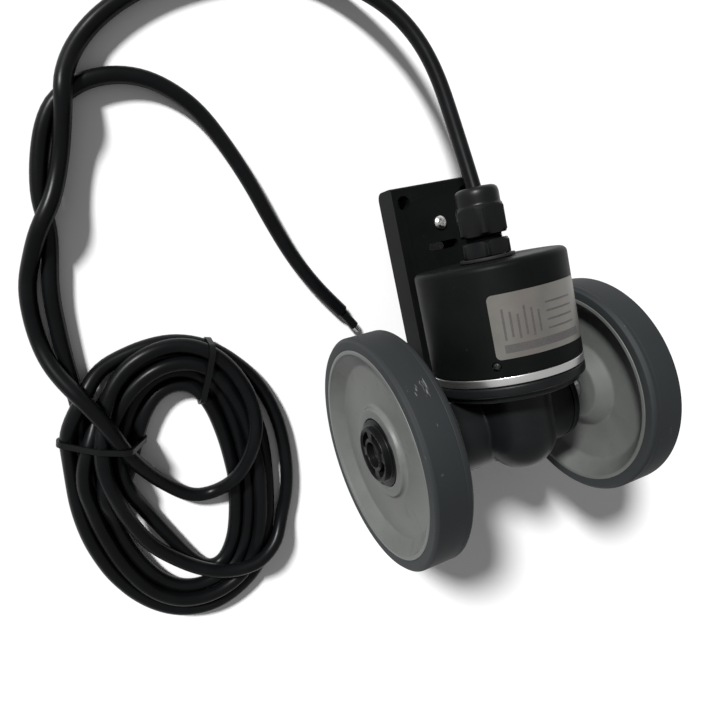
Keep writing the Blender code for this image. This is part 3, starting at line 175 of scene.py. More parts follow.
class WheelSizes(bpy.types.PropertyGroup):
    tyre_radius: length("Tyre radius", "From the axle to the tread", 39.8)
    rim_radius: length("Rim radius", "Where the tyre sits on the rim", 35.8)
    outer_face: length("Outer face", "From the middle of the axle to the wheel's outer face", 48.6)
    width: length("Width", "Width of the tyre and the rim", 13.4)
    chamfer: length("Chamfer", "On the tyre's edges", 1.1)
    bead: length("Bead", "Thickness of the rim's edge", 1.5)
    dish_radius: length("Dish radius", "Where the sloped wall meets the web", 29.8)
    dish_depth: length("Dish depth", "From the outer face down to the web", 4.2)
    web: length("Web", "Thickness of the web", 3.0)
    insert_radius: length("Insert radius", "Of the black hub insert", 11.5)


class BodySizes(bpy.types.PropertyGroup):
    cap_radius: length("Cap radius", "Outer radius of the encoder's cap", 24.7)
    cap_height: length("Cap height", "From the rim of the cap to its top", 34.1)
    cap_fillet: length("Cap fillet", "Round at the cap's top edge", 2.0)
    cap_wall: length("Cap wall", "Thickness of the cap's wall", 1.5)
    barrel_radius: length("Barrel radius", "Of the gearbox round the axle", 16.0)
    barrel_half: length("Barrel half length", "From the middle to the end covers", 23.5)
    well_radius: length("Well radius", "Of the domed part round the lower gear", 12.5)
    gland_flats: length("Gland flats", "Across the flats of the cable gland", 15.0)


class BracketSizes(bpy.types.PropertyGroup):
    half_width: length("Half width", "From the middle to either side", 17.0)
    top: length("Top", "From the axle to the bracket's top", 85.0)
    low: length("Foot", "From the axle to the bracket's lower end", 15.0)
    front: length("Front", "From the axle to the bracket's front face", 11.158)
    depth: length("Depth", "Thickness of the plate", 10.6)
    hole_radius: length("Hole radius", "Of the two bolt holes", 2.5)


class CableSizes(bpy.types.PropertyGroup):
    radius: length("Cable radius", "Of the outer sheath", 2.5)
    sleeve_radius: length("Sleeve radius", "Of the thin sleeve at the cable's end", 1.8)
    tie_width: length("Tie width", "Of the bands round the coil", 1.9)


class Colours(bpy.types.PropertyGroup):
    tyre: colour("Tyre", "Slate grey rubber", (0.0215, 0.0245, 0.026))
    seal: colour("Seals", "Black rubber", (0.007, 0.007, 0.0075))
    rim: colour("Rims", "Warm grey moulded plastic", (0.097, 0.102, 0.097))
    housing: colour("Gearbox", "Black paint on its castings", (0.005, 0.0055, 0.0058))
    cap: colour("Cap and bracket", "Satin black paint", (0.0034, 0.0038, 0.0038))
    nylon: colour("Nylon", "Black nylon of the gland, hub inserts and ties", (0.004, 0.0043, 0.0046))
    cable: colour("Cable", "Black sheath", (0.0028, 0.0031, 0.0034))
    aluminium: colour("Aluminium", "Bright turned metal", (0.74, 0.74, 0.73))
    foil: colour("Label", "Silver foil", (0.13, 0.124, 0.113))
    print_ink: colour("Label print", "Dark ruled bars", (0.05, 0.046, 0.047))
    steel: colour("Steel", "Ground steel", (0.55, 0.55, 0.56))
    plated: colour("Plated steel", "The bracket's small screw", (0.72, 0.72, 0.7))
    blackened: colour("Blackened steel", "Socket and pan screws", (0.045, 0.045, 0.047))
    brass: colour("Brass", "The two gears", (0.6, 0.43, 0.16))
    board: colour("Circuit board", "Green solder mask", (0.015, 0.11, 0.04))
    floor: colour("Floor", "Pale ground", (0.97, 0.97, 0.97))


# ---------------------------------------------------------------- node trees


class Value:
    """A socket of a node tree that can be used in sums, as a number would be."""

    def __init__(self, tree, socket):
        self.tree = tree
        self.socket = socket

    def sum(self, operation, *others):
        return self.tree.node("ShaderNodeMath", {"operation": operation}, dict(enumerate((self, *others))))

    def __add__(self, other):
        return self.sum("ADD", other)

    __radd__ = __add__

    def __sub__(self, other):
        return self.sum("SUBTRACT", other)

    def __rsub__(self, other):
        return (self * -1.0) + other

    def __mul__(self, other):
        return self.sum("MULTIPLY", other)

    __rmul__ = __mul__

    def __pow__(self, other):
        return self.sum("POWER", other)

    def __gt__(self, other):
        return self.sum("GREATER_THAN", other)

    def __lt__(self, other):
        return self.sum("LESS_THAN", other)

    def __abs__(self):
        return self.sum("ABSOLUTE")


class Tree:
    """A node tree that is written from top to bottom."""

    def __init__(self, tree):
        self.tree = tree

    def node(self, kind, settings=None, sockets=None, output=0):
        """One node: its settings, then its sockets' values or links, by name or place."""
        made = self.tree.nodes.new(kind)
        for name, value in (settings or {}).items():
            if name == "stops":
                for i, (place, tone) in enumerate(value):
                    stop = made.color_ramp.elements[i] if i < 2 else made.color_ramp.elements.new(place)
                    stop.position = place
                    stop.color = (tone, tone, tone, 1.0)
            else:
                setattr(made, name, value)
        for name, value in (sockets or {}).items():
            if isinstance(value, Value):
                self.tree.links.new(value.socket, made.inputs[name])
            else:
                made.inputs[name].default_value = value
        return Value(self, made.outputs[output])

    def split(self, vector):
        made = self.node("ShaderNodeSeparateXYZ", None, {0: vector}).socket.node
        return [Value(self, socket) for socket in made.outputs]

    def join(self, x, y, z):
        return self.node("ShaderNodeCombineXYZ", None, {0: x, 1: y, 2: z})

    def noise(self, where, scale, detail=3.0, roughness=0.55):
        sockets = {"Vector": where, "Scale": scale, "Detail": detail, "Roughness": roughness}
        return self.node("ShaderNodeTexNoise", None, sockets)

    def ramp(self, value, *stops):
        return self.node("ShaderNodeValToRGB", {"stops": stops}, {0: value})

    def blend(self, share, first, second):
        """A mix of two colours."""
        sockets = {0: share, 6: first, 7: second}
        return self.node("ShaderNodeMix", {"data_type": "RGBA"}, sockets, 2)

    def bump(self, height, strength, distance):
        sockets = {"Height": height, "Strength": strength, "Distance": distance}
        return self.node("ShaderNodeBump", None, sockets)


class Finish(Tree):
    """A material whose Principled shader is filled in by name."""

    def __init__(self, name):
        self.material = bpy.data.materials.new(name)
        self.material.use_nodes = True
        super().__init__(self.material.node_tree)
        self.shader = self.tree.nodes["Principled BSDF"]
        self.where = self.node("ShaderNodeTexCoord", None, None, 3)

    def set(self, **sockets):
        for name, value in sockets.items():
            socket = self.shader.inputs[name.replace("_", " ").title().replace("Ior", "IOR")]
            if isinstance(value, Value):
                self.tree.links.new(value.socket, socket)
            else:
                socket.default_value = value
        return self.material

    def clouded(self, broad, tone, dark, light, low=0.3, high=0.7):
        """A tone that drifts between two shades of itself."""
        cloud = self.ramp(broad, (low, 0.0), (high, 1.0))
        return self.blend(cloud, shade(tone, dark), shade(tone, light))


def shade(tone, factor=1.0):
    """A colour made lighter or darker, as a node's value."""
    return (*(min(1.0, part * factor) for part in tone), 1.0)


def plain_finish(name, tone, roughness, grain, grain_depth=0.02, specular=0.25):
    """Colour, gloss and grain that vary a little over the surface."""
    finish = Finish(name)
    broad = finish.noise(finish.where, 55.0, 4.0)
    fine = finish.noise(finish.where, grain, 2.0)
    base = finish.clouded(broad, tone, 0.82, 1.18)
    return finish.set(
        base_color=base, roughness=broad * 0.16 + fine * 0.08 + (roughness - 0.12), specular_ior_level=specular,
        normal=finish.bump(fine, 0.5, grain_depth * MM),
    )


def radius_from(finish, place):
    """Distance from the Z axis of a place, height along it and angle round it, at each point."""
    inverse = place.inverted()
    sockets = {0: finish.where, 2: inverse.to_euler(), 1: inverse.translation * MM}
    local = finish.node("ShaderNodeMapping", {"vector_type": "POINT"}, sockets)
    x, y, z = finish.split(local)
    return (x * x + y * y) ** 0.5, z, y.sum("ARCTAN2", x)


def tyre_finish(tone):
    """Matt rubber with fine moulding lines, a tread painted darker as painted shade, and a few pale scuffs."""
    finish = Finish("slate rubber")
    x, y, z = finish.split(finish.where)
    broad = finish.noise(finish.where, 48.0, 5.0, 0.6)
    fine = finish.noise(finish.where, 1500.0, 2.0)
    lines = finish.noise(finish.join(x * 2600.0, y * 14.0, z * 14.0), 1.0, 2.0)
    base = finish.clouded(broad, tone, 0.84, 1.14, 0.3, 0.72)
    streak = finish.noise(finish.join(x * 900.0, y * 130.0, z * 130.0), 1.0, 3.0, 0.7)
    spot = finish.noise(finish.where, 300.0, 2.0, 0.5)
    sx, sy, sz = SCUFF_AT
    away = ((x - sx) * (x - sx) + (y - sy) * (y - sy) + (z - sz) * (z - sz)) ** 0.5
    near = finish.ramp(away * 100.0, (0.25, 1.0), (0.8, 0.0))  # by the distance in centimetres
    mark = finish.ramp(streak + near * 0.13, (0.735, 0.0), (0.775, 1.0))
    speck = finish.ramp(spot, (0.745, 0.0), (0.79, 1.0))
    radius, _, _ = radius_from(finish, WHEEL_PLACES["left"])
    # Where the tread is painted darker than the sides, as painted shade
    tread = finish.ramp(radius * 10.0, (0.388, 0.0), (0.396, 1.0))  # by the radius in decimetres
    # The first colour is the tread's painted shade; the scuffs and the dust are real marks
    wear_and_shade, scuffed, dusty = (0.0065, 0.0082, 0.0092), (0.14, 0.145, 0.14), (0.1, 0.105, 0.105)
    for share, shown in ((tread * 0.7, wear_and_shade), (mark * 0.7, scuffed), (speck * 0.3, dusty)):
        base = finish.blend(share, base, shade(shown))
    height = lines * 0.5 + fine * 0.5
    return finish.set(
        base_color=base, roughness=broad * 0.1 + mark * 0.1 + 0.62, specular_ior_level=0.25,
        normal=finish.bump(height, 0.35, 0.05 * MM),
    )


# The middle of the scuffs on the left tyre, in metres
SCUFF_AT = (-41.2 * MM, 9.6 * MM, 65.0 * MM)


def rim_finish(tone):
    """Moulded grey plastic with flow clouds, handling marks and a fine spark texture."""
    finish = Finish("grey rim plastic")
    broad = finish.noise(finish.where, 38.0, 6.0, 0.62)
    fine = finish.noise(finish.where, 1700.0, 2.0)
    smear = finish.noise(finish.where, 120.0, 5.0, 0.7)
    base = finish.clouded(broad, tone, 0.84, 1.12, 0.32, 0.68)
    dirt = finish.ramp(smear, (0.56, 0.0), (0.74, 1.0))
    base = finish.blend(dirt * 0.3, base, shade((0.05, 0.049, 0.045)))
    return finish.set(
        base_color=base, roughness=broad * 0.14 + dirt * 0.1 + 0.36, specular_ior_level=0.3,
        normal=finish.bump(fine * 0.7 + smear * 0.3, 0.3, 0.04 * MM),
    )


def painted_finish(name, tone, roughness, texture, depth, specular):
    """Black paint over a cast or milled face, a little orange-peel in it."""
    finish = Finish(name)
    broad = finish.noise(finish.where, 70.0, 4.0)
    peel = finish.noise(finish.where, texture, 3.0, 0.6)
    dust = finish.noise(finish.where, 520.0, 2.0, 0.5)
    base = finish.clouded(broad, tone, 0.82, 1.2)
    speck = finish.ramp(dust, (0.72, 0.0), (0.78, 1.0))
    base = finish.blend(speck * 0.08, base, shade((0.08, 0.08, 0.08)))
    return finish.set(
        base_color=base, roughness=broad * 0.14 + peel * 0.1 + (roughness - 0.1), specular_ior_level=specular,
        normal=finish.bump(peel, 0.4, depth * MM),
    )


def turned_finish(tone):
    """Bright aluminium with the rings that a lathe leaves round the shaft's axis."""
    finish = Finish("turned aluminium")
    radius, height, angle = radius_from(finish, SHAFT)
    rings = finish.noise(finish.join(radius * 6000.0, height * 9000.0, angle * 0.4), 1.0, 2.0)
    broad = finish.noise(finish.where, 60.0, 4.0)
    base = finish.blend(broad, shade(tone, 0.82), shade(tone, 1.06))
    return finish.set(
        base_color=base, metallic=1.0, roughness=rings * 0.14 + broad * 0.1 + 0.2,
        normal=finish.bump(rings, 0.25, 0.02 * MM),
    )


def metal_finish(name, tone, roughness, metallic=1.0):
    """Drawn or plated metal with faint scratches."""
    finish = Finish(name)
    x, y, z = finish.split(finish.where)
    drawn = finish.noise(finish.join(x * 2400.0, y * 260.0, z * 2400.0), 1.0, 3.0)
    broad = finish.noise(finish.where, 150.0, 3.0)
    base = finish.blend(broad, shade(tone, 0.8), shade(tone, 1.1))
    return finish.set(
        base_color=base, metallic=metallic, roughness=drawn * 0.16 + broad * 0.1 + (roughness - 0.13),
        normal=finish.bump(drawn, 0.2, 0.015 * MM),
    )


def foil_finish(tone, ink):
    """Silver foil with plain ruled bars; its UV map is in centimetres along and up the label."""
    finish = Finish("silver foil")
    u, v, _ = finish.split(finish.node("ShaderNodeTexCoord", None, None, 2))
    broad = finish.noise(finish.where, 90.0, 4.0)
    fine = finish.noise(finish.where, 2600.0, 2.0)
    base = finish.clouded(broad, tone, 0.86, 1.08)
    pink = finish.ramp(abs(u - 1.0), (0.0, 1.0), (0.5, 0.0))
    base = finish.blend(pink * 0.2, base, shade((0.12, 0.08, 0.085)))
    glare = finish.ramp(abs(u - 2.6), (0.0, 1.0), (0.9, 0.0))
    base = finish.blend(glare * 0.5, base, shade(tone, 1.9))
    mask = 0.0
    for left, right, low, high in LABEL_BARS:
        inside = (u > left) * (u < right) * (v > low) * (v < high)
        mask = inside + mask
    wear_and_shade = finish.ramp(fine, (0.3, 0.7), (0.6, 1.0))
    base = finish.blend(mask * wear_and_shade, base, shade(ink))
    return finish.set(
        base_color=base, metallic=0.35 - mask.sum("MINIMUM", 1.0) * 0.35, roughness=broad * 0.12 + 0.3,
        specular_ior_level=0.5, normal=finish.bump(fine, 0.15, 0.02 * MM),
    )


# Plain bars in centimetres, (left, right, low, high), measured from the label's lower left corner
LABEL_BARS = [(0.3, 3.1, 0.17, 0.42)]
LABEL_BARS += [(0.35 + 0.22 * k, 0.42 + 0.22 * k, 0.55 + 0.07 * (k % 2), 1.5 - 0.11 * (k % 3)) for k in range(6)]
LABEL_BARS += [(1.75, 2.9, 0.62 + 0.26 * k, 0.68 + 0.26 * k) for k in range(4)]


def cable_finish(tone):
    """Satin sheath with a faint lengthwise draw and a few dull rubs."""
    finish = Finish("cable sheath")
    broad = finish.noise(finish.where, 90.0, 4.0)
    fine = finish.noise(finish.where, 1200.0, 2.0)
    base = finish.clouded(broad, tone, 0.8, 1.3, 0.35)
    return finish.set(
        base_color=base, roughness=broad * 0.12 + fine * 0.06 + 0.25, specular_ior_level=0.11,
        normal=finish.bump(broad * 0.6 + fine * 0.4, 0.25, 0.08 * MM),
    )


def board_finish(tone):
    """Solder mask with copper runs under it."""
    finish = Finish("circuit board")
    sockets = {"Vector": finish.where, "Scale": 420.0}
    runs = finish.node("ShaderNodeTexVoronoi", {"feature": "DISTANCE_TO_EDGE"}, sockets)
    track = finish.ramp(runs, (0.04, 1.0), (0.09, 0.0))
    broad = finish.noise(finish.where, 80.0, 3.0)
    base = finish.blend(broad, shade(tone, 0.8), shade(tone, 1.2))
    base = finish.blend(track * 0.6, base, shade((0.05, 0.25, 0.09)))
    return finish.set(
        base_color=base, roughness=broad * 0.1 + 0.28, normal=finish.bump(track, 0.3, 0.04 * MM),
    )


def all_finishes(tones):
    return {
        "tyre_rubber": tyre_finish(tones.tyre),
        "seal_rubber": plain_finish("seal rubber", tones.seal, 0.62, grain=1300.0),
        "grey_rim": rim_finish(tones.rim),
        "black_plastic": painted_finish("black gearbox paint", tones.housing, 0.36, 620.0, 0.1, 0.16),
        "cap_paint": painted_finish("satin cap paint", tones.cap, 0.44, 1500.0, 0.03, 0.055),
        "black_nylon": plain_finish("black nylon", tones.nylon, 0.36, grain=1500.0, grain_depth=0.03, specular=0.15),
        "cable_sheath": cable_finish(tones.cable),
        "turned_aluminium": turned_finish(tones.aluminium),
        "silver_foil": foil_finish(tones.foil, tones.print_ink),
        "steel": metal_finish("ground steel", tones.steel, 0.34),
        "plated_steel": metal_finish("plated steel", tones.plated, 0.24),
        "blackened_steel": metal_finish("blackened steel", tones.blackened, 0.42, 0.75),
        "brass": metal_finish("cut brass", tones.brass, 0.32),
        "green_board": board_finish(tones.board),
        "etched_disc": metal_finish("etched disc", (0.35, 0.36, 0.38), 0.3, 0.85),
    }


# ---------------------------------------------------------------- geometry trees


def geometry_tree(name, **inputs):
    """A geometry tree with named inputs after its geometry; returns it with its sockets by name."""
    made = bpy.data.node_groups.new(name, "GeometryNodeTree")
    made.interface.new_socket("Geometry", in_out="INPUT", socket_type="NodeSocketGeometry")
    made.interface.new_socket("Geometry", in_out="OUTPUT", socket_type="NodeSocketGeometry")
    for label, kind in inputs.items():
        made.interface.new_socket(label.replace("_", " ").title(), in_out="INPUT", socket_type="NodeSocket" + kind)
    tree = Tree(made)
    group = made.nodes.new("NodeGroupInput")
    sockets = {socket.name: Value(tree, socket) for socket in group.outputs if socket.name}
    return tree, sockets


def close_tree(tree, geometry, material):
    real = tree.node("GeometryNodeRealizeInstances", None, {"Geometry": geometry})
    done = tree.node("GeometryNodeSetMaterial", None, {"Geometry": real, "Material": material})
    out = tree.tree.nodes.new("NodeGroupOutput")
    tree.tree.links.new(done.socket, out.inputs[0])
    return tree.tree


def turning_tree():
    """Turns an outline of (radius less Start Radius, height) points about Z."""
    tree, given = geometry_tree("turned piece", start_radius="Float", segments="Int", merge="Float", finish="Material")
    outline = tree.node("GeometryNodeMeshToCurve", None, {"Mesh": given["Geometry"]})
    circle = tree.node(
        "GeometryNodeCurvePrimitiveCircle", None, {"Resolution": given["Segments"], "Radius": given["Start Radius"]}
    )
    swept = tree.node("GeometryNodeCurveToMesh", None, {"Curve": circle, "Profile Curve": outline})
    merged = tree.node("GeometryNodeMergeByDistance", None, {"Geometry": swept, "Distance": given["Merge"]})
    return close_tree(tree, merged, given["Finish"])


def scatter_tree():
    """Sets one piece on each point, turned by the point's "turn" attribute."""
    tree, given = geometry_tree("repeated piece", piece="Object", size="Float", finish="Material")
    turn = tree.node("GeometryNodeInputNamedAttribute", {"data_type": "FLOAT_VECTOR"}, {"Name": "turn"})
    rotation = tree.node("FunctionNodeEulerToRotation", None, {0: turn})
    shape = tree.node("GeometryNodeObjectInfo", None, {"Object": given["Piece"]}, 4)
    spread = tree.node(
        "GeometryNodeInstanceOnPoints", None,
        {"Points": given["Geometry"], "Instance": shape, "Rotation": rotation, "Scale": given["Size"]},
    )
    return close_tree(tree, spread, given["Finish"])


TREES = {}


def grow(source, tree_name, **values):
    """Runs a geometry tree on an object and returns the plain mesh that comes out."""
    tree = TREES[tree_name]
    modifier = source.modifiers.new(tree_name, "NODES")
    modifier.node_group = tree
    for item in tree.interface.items_tree:
        key = item.name.lower().replace(" ", "_")
        if item.item_type == "SOCKET" and item.in_out == "INPUT" and key in values:
            modifier[item.identifier] = values[key]
    mesh = bake(source)
    bpy.data.objects.remove(source)
    return mesh


# ---------------------------------------------------------------- mesh helpers


def bake(obj):
    """The mesh of an object with its modifiers."""
    bpy.context.view_layer.update()
    graph = bpy.context.evaluated_depsgraph_get()
    return bpy.data.meshes.new_from_object(obj.evaluated_get(graph), preserve_all_data_layers=True, depsgraph=graph)


def show(name, mesh):
    obj = bpy.data.objects.new(name, mesh)
    bpy.context.scene.collection.objects.link(obj)
    return obj


def outward(mesh):
    """Merges what meets and points every face out."""
    bm = bmesh.new()
    bm.from_mesh(mesh)
    bmesh.ops.remove_doubles(bm, verts=bm.verts, dist=1e-4)
    bmesh.ops.dissolve_degenerate(bm, edges=bm.edges, dist=1e-5)
    bmesh.ops.recalc_face_normals(bm, faces=bm.faces)
    bm.to_mesh(mesh)
    bm.free()
    return mesh


def rounded(corners, fillet):
    """The closed outline through (x, y) or (x, y, fillet) corners, each rounded as far as its sides allow."""
    points = []
    count = len(corners)
    for i, corner in enumerate(corners):
        here = Vector(corner[:2])
        back = Vector(corners[i - 1][:2]) - here
        on = Vector(corners[(i + 1) % count][:2]) - here
        size = corner[2] if len(corner) > 2 else fillet
        half = back.angle(on) / 2
        if size == 0 or half > math.radians(88):
            points.append(here)
            continue
        reach = min(size / math.tan(half), 0.48 * back.length, 0.48 * on.length)
        size = reach * math.tan(half)
        centre = here + (back.normalized() + on.normalized()).normalized() * size / math.sin(half)
        first = here + back.normalized() * reach - centre
        last = here + on.normalized() * reach - centre
        steps = max(2, math.ceil((math.pi - 2 * half) / math.radians(15)))
        sweep = first.angle_signed(last)
        points += [centre + Matrix.Rotation(-sweep * k / steps, 2) @ first for k in range(steps + 1)]
    return points


def turned_mesh(corners, fillet=0.25, segments=160):
    """A solid turned about Z from its outline of (radius, height[, fillet]) corners."""
    start = 10.0
    points = [(p.x - start, -p.y, 0.0) for p in rounded(corners, fillet)]
    mesh = bpy.data.meshes.new("outline")
    mesh.from_pydata(points, [(i, (i + 1) % len(points)) for i in range(len(points))], [])
    outline = show("outline", mesh)
    return outward(grow(outline, "turned piece", start_radius=start, segments=segments, merge=1e-3))


def rod_mesh(radius, low, high, segments=48, fillet=0.0):
    corners = [(0.0, low, 0.0), (radius, low, fillet), (radius, high, fillet), (0.0, high, 0.0)]
    return turned_mesh(corners, fillet, segments)


def prism_mesh(points, low, high):
    bm = bmesh.new()
    face = bm.faces.new([bm.verts.new((x, y, low)) for x, y in points])
    made = bmesh.ops.extrude_face_region(bm, geom=[face])["geom"]
    bmesh.ops.translate(bm, verts=[v for v in made if isinstance(v, bmesh.types.BMVert)], vec=(0.0, 0.0, high - low))
    bmesh.ops.recalc_face_normals(bm, faces=bm.faces)
    mesh = bpy.data.meshes.new("prism")
    bm.to_mesh(mesh)
    bm.free()
    return mesh


def placed(mesh, place):
    mesh.transform(place)
    return mesh


def arc(centre, radius, first, last, steps):
    turns = [first + (last - first) * i / steps for i in range(steps + 1)]
    return [(centre[0] + radius * math.cos(a), centre[1] + radius * math.sin(a)) for a in turns]


def hexagon(flats):
    return arc((0.0, 0.0), flats / math.sqrt(3), 0.0, math.tau * 5 / 6, 5)


def carved(mesh, operations, solver="EXACT"):
    """A mesh after Booleans with other meshes, given as (operation, mesh) pairs."""
    base = show("base", mesh)
    tools = []
    for operation, tool_mesh in operations:
        tool = show("tool", tool_mesh)
        tools.append(tool)
        modifier = base.modifiers.new(operation, "BOOLEAN")
        modifier.operation = operation
        modifier.solver = solver
        modifier.object = tool
    result = bake(base)
    for obj in (base, *tools):
        bpy.data.objects.remove(obj)
    return result


def finished(name, mesh, slot, nodes, place, finish=None, body="encoder_frame", angle=SMOOTH_ANGLE):
    """A piece of the object: placed in its mesh, in metres, shaded, attached to its body, with the frame's nodes that
    it replaces hidden.
    """
    mesh.transform(Matrix.Scale(MM, 4) @ place)
    mesh.materials.clear()
    mesh.materials.append(FINISHES[finish or slot])
    mesh.shade_smooth()
    mesh.set_sharp_from_angle(angle=angle)
    piece = show(name, mesh)
    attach(piece, body)
    if nodes:
        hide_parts(*nodes)
    return piece


def scattered(piece_mesh, spots, slot):
    """Copies of a mesh at (place, turn) spots, as one mesh."""
    unit = show("unit", piece_mesh)
    points = bpy.data.meshes.new("spots")
    points.from_pydata([tuple(place) for place, _ in spots], [], [])
    turns = points.attributes.new("turn", "FLOAT_VECTOR", "POINT")
    for row, (_, turn) in zip(turns.data, spots):
        row.vector = turn
    made = grow(show("spots", points), "repeated piece", piece=unit, size=1.0, finish=FINISHES[slot])
    bpy.data.objects.remove(unit)
    return made


# ---------------------------------------------------------------- pieces


def in_mm(group):
    """The sizes of a property group, in millimetres."""
    return SimpleNamespace(**{name: getattr(group, name) / MM for name in type(group).__annotations__})


def cut(mesh, *tools):
    return carved(mesh, [("DIFFERENCE", tool) for tool in tools])


def pan_head(radius, height, recess):
    """A domed screw head with a cross recess, its seat at height 0."""
    corners = [
        (0.0, height, 0.0), (radius * 0.55, height, radius * 0.4), (radius, height * 0.45, radius * 0.25),
        (radius, 0.0, 0.05), (0.0, 0.0, 0.0),
    ]
    half, arm = recess / 2, radius * 0.58
    outline = [(-arm, -half), (arm, -half), (arm, half), (-arm, half)]
    bars = [placed(prism_mesh(outline, height * 0.35, height * 2), turned(angle)) for angle in (0.0, QUARTER)]
    return cut(turned_mesh(corners, 0.1, 48), *bars)


def socket_head(radius, height, flats):
    """A cap screw's head with a hexagonal socket, its seat at height 0."""
    corners = [(0.0, height, 0.0), (radius, height, radius * 0.12), (radius, 0.0, 0.05), (0.0, 0.0, 0.0)]
    return cut(turned_mesh(corners, 0.1, 48), prism_mesh(hexagon(flats), height * 0.35, height * 2))


def shanked(head, radius, depth):
    """A head with a plain shank below it."""
    return carved(head, [("UNION", rod_mesh(radius, -depth, 0.3, 24))])


def screw_hole(head, head_low, shank, shank_low, over):
    """A counterbore over a shank hole, as a cutter whose heights go down from over."""
    corners = [(0.0, over), (head, over), (head, head_low), (shank, head_low), (shank, shank_low), (0.0, shank_low)]
    return turned_mesh(corners, 0.0, 32)


def wheel_outlines(size):
    """Outlines of the tyre, the rim and the hub insert, in (radius, distance along the axle)."""
    out = size.outer_face
    low = out - size.width
    tyre, rim, edge = size.tyre_radius, size.rim_radius, size.chamfer
    seat = rim + 0.03
    groove, groove_half, groove_depth = low + 2.6, 0.22, 0.1
    tyre_points = [
        (seat, low + 0.15, 0.2), (tyre - edge, low, 0.5), (tyre, low + edge, 0.5), (tyre, groove - groove_half, 0.08),
        (tyre - groove_depth, groove, 0.1), (tyre, groove + groove_half, 0.08), (tyre, out - edge, 0.5),
        (tyre - edge, out, 0.5), (seat, out - 0.12, 0.25),
    ]
    web_out = out - size.dish_depth
    web_in = web_out - size.web
    insert = size.insert_radius
    bore = insert + 0.3
    ring, ring_top = bore + 3.2, web_out + 1.8
    floor, axle_bore = web_in - 1.7, 3.25
    boss_top = web_in - 4.4
    bead = rim - size.bead
    rim_points = [
        (rim, low, 0.2), (rim, out, 0.25), (bead + 0.2, out, 0.35), (bead - 0.35, out - 0.75, 0.25),
        (size.dish_radius, web_out, 1.6), (ring + 0.9, web_out, 1.6), (ring, ring_top, 0.6), (bore, ring_top, 0.4),
        (bore, floor, 0.2), (axle_bore, floor, 0.2), (axle_bore, boss_top, 0.2), (11.6, boss_top, 1.4),
        (16.2, web_in, 1.8), (size.dish_radius, web_in, 2.0), (bead - 0.3, low + 0.6, 0.3), (bead + 0.25, low, 0.3),
    ]
    inner, shoulder, dip = out - 8.6, out - 2.4, out - 0.35
    axle_hole, head_hole, head_floor = 3.3, 4.4, out - 4.6
    insert_points = [
        (axle_hole, inner, 0.2), (insert, inner, 0.3), (insert, shoulder, 0.3), (9.3, shoulder, 0.3), (9.3, out, 0.35),
        (8.75, out, 0.2), (8.5, dip, 0.15), (5.2, dip, 0.15), (4.95, out, 0.2), (head_hole, out, 0.25),
        (head_hole, head_floor, 0.15), (axle_hole, head_floor, 0.1),
    ]
    return tyre_points, rim_points, insert_points


def hub_window(out):
    """One kidney-shaped pocket of the hub insert, as a cutter."""
    half = math.radians(32)
    outline = arc((0.0, 0.0), 7.9, -half, half, 16) + arc((0.0, 0.0), 5.7, half, -half, 12)
    return prism_mesh(rounded(outline, 0.0), out - 3.2, out + OVER)


class Step:
    """What the add-on's operators share."""

    def execute(self, context):
        self.build(context.scene)
        return {"FINISHED"}


class BuildTyres(Step, bpy.types.Operator):
    """Turn both tyres, with their chamfered edges and the moulding groove on the tread"""

    bl_idname = "encoder.build_tyres"
    bl_label = "Tyres"

    def build(self, scene):
        tyre_points, _, _ = wheel_outlines(in_mm(scene.encoder_wheels))
        for side, place in WHEEL_PLACES.items():
            mesh = turned_mesh(tyre_points, segments=220)
            finished(f"{side}_tyre_rubber", mesh, "tyre_rubber", [f"{side}_tyre"], place, body="axle_set")


class BuildRims(Step, bpy.types.Operator):
    """Turn both rims: bead, sloped wall, web and hub boss"""

    bl_idname = "encoder.build_rims"
    bl_label = "Rims"

    def build(self, scene):
        _, rim_points, _ = wheel_outlines(in_mm(scene.encoder_wheels))
        for side, place in WHEEL_PLACES.items():
            mesh = turned_mesh(rim_points, segments=220)
            finished(f"{side}_rim_moulding", mesh, "grey_rim", [f"{side}_rim"], place, body="axle_set")


class BuildHubInserts(Step, bpy.types.Operator):
    """Make the black hub inserts with their pockets, and the screws that hold the wheels"""

    bl_idname = "encoder.build_hub_inserts"
    bl_label = "Hub inserts"

    def build(self, scene):
        size = in_mm(scene.encoder_wheels)
        _, _, insert_points = wheel_outlines(size)
        spots = [((0.0, 0.0, 0.0), (0.0, 0.0, math.pi / 4 + QUARTER * k)) for k in range(4)]
        for side, place in WHEEL_PLACES.items():
            pockets = outward(scattered(hub_window(size.outer_face), spots, "black_nylon"))
            mesh = cut(turned_mesh(insert_points, segments=128), pockets)
            finished(f"{side}_hub_moulding", mesh, "black_nylon", [f"{side}_hub_insert"], place, body="axle_set")
            screw = shanked(socket_head(3.7, 2.2, 3.0), 1.5, 7.0)
            finished(
                f"{side}_axle_screw_steel", screw, "blackened_steel", [f"{side}_axle_screw"],
                place @ at(0.0, 0.0, size.outer_face - 4.3), body="axle_set",
            )


